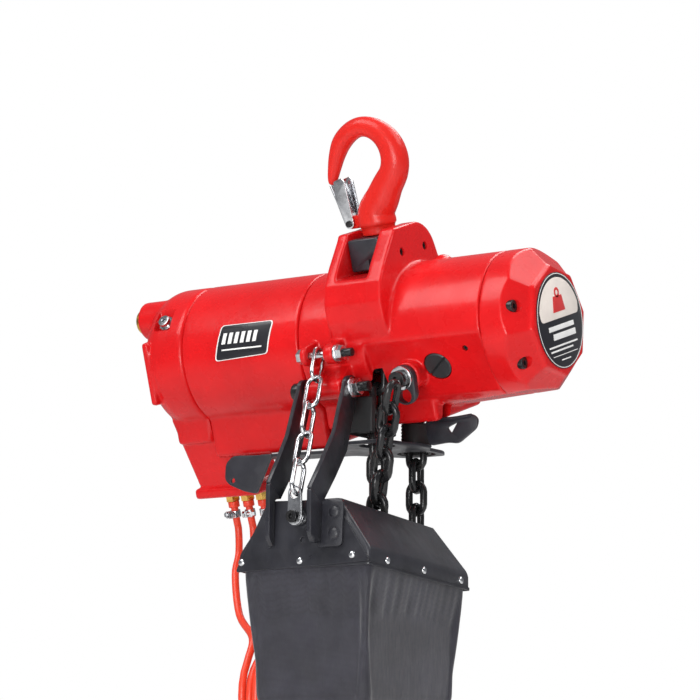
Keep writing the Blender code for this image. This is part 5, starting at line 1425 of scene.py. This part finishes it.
def make_lever():
    loops = [circle(0.0165, 48, 0, R_SHEAVE), circle(0.0150, 48, 0, -R_SHEAVE)]
    outline = [
        (-0.128, -0.0205), (-0.112, -0.0205), (-0.060, -0.014), (-0.030, -0.052), (0.018, -0.052),
        (0.022, -0.030), (0.031, -0.005), (0.031, 0.005), (0.0215, 0.016), (0.0215, 0.040), (0.016, 0.052),
        (-0.018, 0.052), (-0.050, 0.012), (-0.118, 0.008),
    ]
    bar = plate(outline, 0.003, at(0, 0, BAR_Z), loops, 0.0006, 0.004)
    left = [
        (-0.1617, -0.0987), (-0.1550, -0.0928), (-0.1494, -0.0924), (-0.1277, -0.0935), (-0.1128, -0.0935),
        (-0.1145, -0.0965), (-0.1293, -0.1269), (-0.1425, -0.1238), (-0.1577, -0.1175), (-0.1625, -0.1125),
    ]
    hole = circle(0.0022, 20, -0.154, -0.1138)
    left_wing = plate(left, 0.003, at(0, -0.0200, 0) @ UPRIGHT, [hole], 0.0006, 0.003)
    right = [(0.0295, -0.0748), (0.0400, -0.0717), (0.0557, -0.0725), (0.0742, -0.0704), (0.0798, -0.0750),
             (0.0780, -0.0828), (0.0606, -0.0945), (0.0503, -0.0930), (0.0329, -0.0945), (0.0295, -0.0837)]
    hole = rounded([(0.0500, -0.0803), (0.0600, -0.0763), (0.0540, -0.0856)], 0.0015, 3, True)
    right_wing = plate(right, 0.0032, at(0, 0, 0) @ UPRIGHT, [hole], 0.0007, 0.0035)
    lip = tube(smooth([(0.030, -0.0005, -0.0756), (0.040, -0.0020, -0.0727), (0.0555, -0.0026, -0.0735),
                       (0.0735, -0.0014, -0.0720)], 6), 0.0016, 10)
    hanger = block((-0.043, -0.0065, -0.107), (-0.027, 0.0065, -0.0600), 0.0012, 2, TILTED)
    bore = rod(0.0034, -0.03, 0.03, TILTED @ at(LEVER_X, 0, LEVER_Z) @ ALONG_Y, 32)
    lever = gather(bar, left_wing, right_wing, lip, boolean(hanger, [bore]))
    piece("limit_bar_plate", lever, PLUMB, "plate_black", "limit_bar", ["limit_lever"])
    shaft = rod(0.0031, -0.024, 0.024, at(LEVER_X, 0, LEVER_Z) @ ALONG_Y, 32, 0.0005)
    piece("lever_shaft", shaft, BODY, "dark_steel", "hoist_body", ["limit_shaft"])


def make_bumper():
    ribs = []
    for k in range(9):
        z = -0.0945 + 0.0028 * k
        ribs += [(z, 0.0132), (z + 0.0014, 0.0124)]
    profile = [(-0.0955, 0.0111), (-0.0955, 0.0130)] + ribs + [(-0.0705, 0.0130), (-0.0705, 0.0111)]
    sleeve = lathe(profile, at(0, R_SHEAVE, 0), 56, True)
    piece("bumper", sleeve, PLUMB, "rubber", "hoist_body", ["rubber_bumper"], 70)


def make_guide():
    """The chain guide under the casting, open where the slack chain runs."""
    guide = block((-0.0205, -0.0500, -0.0865), (0.0070, -0.0115, -0.0560), 0.0015)
    throat = block((-0.0140, -R_SHEAVE - 0.0140, -0.12), (0.0140, -R_SHEAVE + 0.0140, -0.04))
    notch = block((-0.030, -0.060, -0.0700), (-0.0080, -0.0490, -0.050), 0.001)
    piece("chain_guide", boolean(guide, [throat, notch]), PLUMB, "rubber", "hoist_body", edge=0.0005)


def make_load_block():
    y = R_SHEAVE
    top, low = STRAND_END + 0.0185, STRAND_END - 0.034
    profile = [(top, 0), (top, 0.0145), (top - 0.003, 0.0168), (top - 0.012, 0.0185), (top - 0.020, 0.0185),
               (low + 0.006, 0.0185), (low, 0.0165), (low, 0)]
    block_shape = lathe(rounded(profile, 0.002, 3), at(0, y, 0), 64)
    flats = [
        block((-0.0125, y + side * 0.0170, STRAND_END - 0.020),
              (0.0125, y + side * 0.0300, STRAND_END + 0.010), 0.001)
        for side in (1, -1)
    ]
    cuts = gather(
        block((-0.0115, y - 0.0044, STRAND_END - 0.0159), (0.0115, y + 0.0044, 0)),
        rod(0.0082, STRAND_END - 0.06, STRAND_END - 0.0175, at(0, y, 0), 32),
    )
    cross = block((-0.0044, y - 0.0115, STRAND_END - 0.0159), (0.0044, y + 0.0115, 0))
    nut_room = block((-0.03, y - 0.0118, STRAND_END - 0.0285), (0.03, y + 0.0118, STRAND_END - 0.0172))
    shape = boolean(block_shape, [cuts, cross, nut_room, *flats])
    piece("block_shell", shape, PLUMB, "black_paint", "hoist_body", ["load_block"], edge=0.0005)
    screws = [
        socket_head(0.0032, 0.0030, 0.0017, at(x, y - 0.0171, STRAND_END - 0.006) @ UPRIGHT)
        for x in (-0.0075, 0.0075)
    ]
    piece("block_screws", gather(*screws), PLUMB, "dark_steel", "hoist_body")
    nut = hexagon(0.0197, 0.0082, 0.0098, at(0, y, STRAND_END - 0.0278))
    piece("load_swivel_nut", nut, PLUMB, "steel", "load_hook_swivel", ["load_hook_nut"])
    base = (0, y, low - 0.0008)
    make_hook("lifting_hook", PLUMB, "load_hook_swivel", base, -1, 0.0155, "load_hook")
    make_latch("lifting_latch", PLUMB, "load_latch_flap", "load_hook_swivel", base, -1, "load_latch",
               "load_latch_pin")


# ---------------------------------------------------------------- plates and small parts


def wrap(shape, radius):
    """Bends a flat shape in XY round the barrel: Y is the distance round it from up towards the front."""
    shape.verts.ensure_lookup_table()
    extent = [v.co.y for v in shape.verts]
    low_y, high_y = min(extent), max(extent)
    count = max(2, int((high_y - low_y) / 0.0016))
    for k in range(1, count):
        y = low_y + (high_y - low_y) * k / count
        geometry = shape.verts[:] + shape.edges[:] + shape.faces[:]
        bmesh.ops.bisect_plane(shape, geom=geometry, plane_co=(0, y, 0), plane_no=(0, 1, 0), dist=0.0000005)
    for vertex in shape.verts:
        angle, reach = vertex.co.y / radius, radius + vertex.co.z
        vertex.co = Vector((vertex.co.x, -reach * math.sin(angle), reach * math.cos(angle)))
    bmesh.ops.recalc_face_normals(shape, faces=shape.faces)
    return shape


def slanted(x_low, x_high, y_low, y_high, lean):
    """A slanted bar's outline; lean is how far its lower end is moved along X."""
    return [(x_low, y_low), (x_high, y_low), (x_high + lean, y_high), (x_low + lean, y_high)]


def make_badge():
    """A generic plate with plain bars on the motor barrel."""
    places = ((-0.139, 58.5), (-0.085, 58.6), (-0.091, 85.0), (-0.146, 87.0))  # X, degrees round the barrel
    corners = [(x, math.radians(degrees) * R_BODY) for x, degrees in places]
    centre = Vector([sum(c) / 4 for c in zip(*corners)])
    inner = [tuple(centre + (Vector(c) - centre) * Vector((0.955, 0.90)).x) for c in corners]
    rim = wrap(plate(corners, 0.0005, at(0, 0, 0.0003), (), 0.0001, 0.0035), R_BODY)
    field = wrap(plate(inner, 0.0005, at(0, 0, 0.00045), (), 0.0001, 0.0030), R_BODY)
    piece("badge_rim", rim, BODY, "label_white", "hoist_body", angle=50)
    piece("badge_field", field, BODY, "label_black", "hoist_body", angle=50)
    top, base = centre.y - 0.0075, centre.y + 0.0062
    starts = [centre.x - 0.0205 + 0.0064 * k for k in range(6)]
    outlines = [slanted(x, x + 0.0038, top, top + 0.0095, -0.0022) for x in starts]
    outlines.append(slanted(centre.x - 0.0225, centre.x + 0.0190, base, base + 0.0013, -0.0003))
    marks = [plate(outline, 0.0004, at(0, 0, 0.0007), (), 0.00008) for outline in outlines]
    piece("badge_marks", wrap(gather(*marks), R_BODY), BODY, "label_white", "hoist_body", angle=50)


def make_end_label():
    """A round rating plate with a generic weight sign and plain bars."""
    def layer(outline, height, holes=()):
        return plate(outline, 0.0004, at(X_END + height, 0, 0) @ SIDEWAYS, holes, 0.00008)

    field = plate(circle(0.0395, 96), 0.0008, at(X_END + 0.0003, 0, 0) @ SIDEWAYS, (), 0.0002)
    piece("rating_plate", field, BODY, "label_black", "hoist_body")
    hem = layer(circle(0.0388, 96), 0.0007, [circle(0.0382, 96)])
    panel = arc(0.0355, 10, 170, 40)
    panel = rounded([(0.0325, 0.0020), *panel[2:-2], (-0.0325, 0.0020)], 0.004, 4, True)
    piece("rating_panel", layer(panel, 0.0008), BODY, "label_cream", "hoist_body")
    weight = [(-0.0105, 0.0075), (0.0105, 0.0075), (0.0075, 0.0205), (-0.0075, 0.0205)]
    handle = layer(circle(0.0042, 32, 0, 0.0232), 0.0011, [circle(0.0022, 24, 0, 0.0232)])
    piece("rating_sign", gather(layer(weight, 0.0011), handle), BODY, "label_red", "hoist_body")
    rows = (  # left, right, low and high
        (-0.022, 0.0220, -0.0070, -0.0030), (-0.016, 0.0230, -0.0145, -0.0095),
        (-0.026, 0.0240, -0.0204, -0.0190), (-0.024, 0.0150, -0.0240, -0.0226),
        (-0.0215, 0.0215, -0.0278, -0.0272), (-0.008, 0.0080, -0.0322, -0.0312),
    )
    bars = [layer(rectangle(*row), 0.0008) for row in rows]
    piece("rating_bars", gather(hem, *bars), BODY, "label_white", "hoist_body")


def make_small_parts():
    face, foot = FACET + 0.0008, FACET - 0.0055
    profile = [(face, 0), (face, 0.0108), (FACET, 0.0118), (foot, 0.0118), (foot, 0)]
    groove_at = PLUG_AT @ Matrix.Rotation(math.radians(38), 4, "Z")
    groove = moved(block((-0.015, -0.0009, FACET - 0.0012), (0.015, 0.0009, FACET + 0.01)), groove_at)
    plug = boolean(lathe(profile, PLUG_AT, 64), [groove])
    piece("plug_cap", plug, BODY, "plastic", "hoist_body", ["oil_plug"])
    screw = socket_head(0.0024, 0.0030, 0.0012, radial(0.097, FACET - 0.0038, 98))
    piece("grub_screw", screw, BODY, "dark_steel", "hoist_body")
    dark = rod(0.0050, 0.0525, 0.0545, radial(0.018, 0, 158), 32, 0.0005)
    piece("port_plug", dark, BODY, "dark_steel", "hoist_body")


INSIDE = {
    "steel": ["motor_liner", "motor_rotor", "planet_gear_1", "planet_gear_2", "planet_gear_3",
              "planet_carrier", "ring_gear", "sheave_bearing_left", "sheave_bearing_right"],
    "bronze": ["motor_end_plate_left", "motor_end_plate_right"],
    "plastic": ["rotor_vane_1", "rotor_vane_2", "rotor_vane_3", "rotor_vane_4"],
    "dark_steel": ["load_sheave"],
}


def dress_inside():
    """The drive train keeps its CAD shapes and takes the finer materials."""
    for finish, names in INSIDE.items():
        for name in names:
            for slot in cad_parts[name].material_slots:
                slot.material = MATERIALS[finish]


make_chains()
make_anchor()
make_hood()
make_arms()
make_bag()
make_pile()
make_lever()
make_bumper()
make_guide()
make_load_block()
make_badge()
make_end_label()
make_small_parts()
dress_inside()
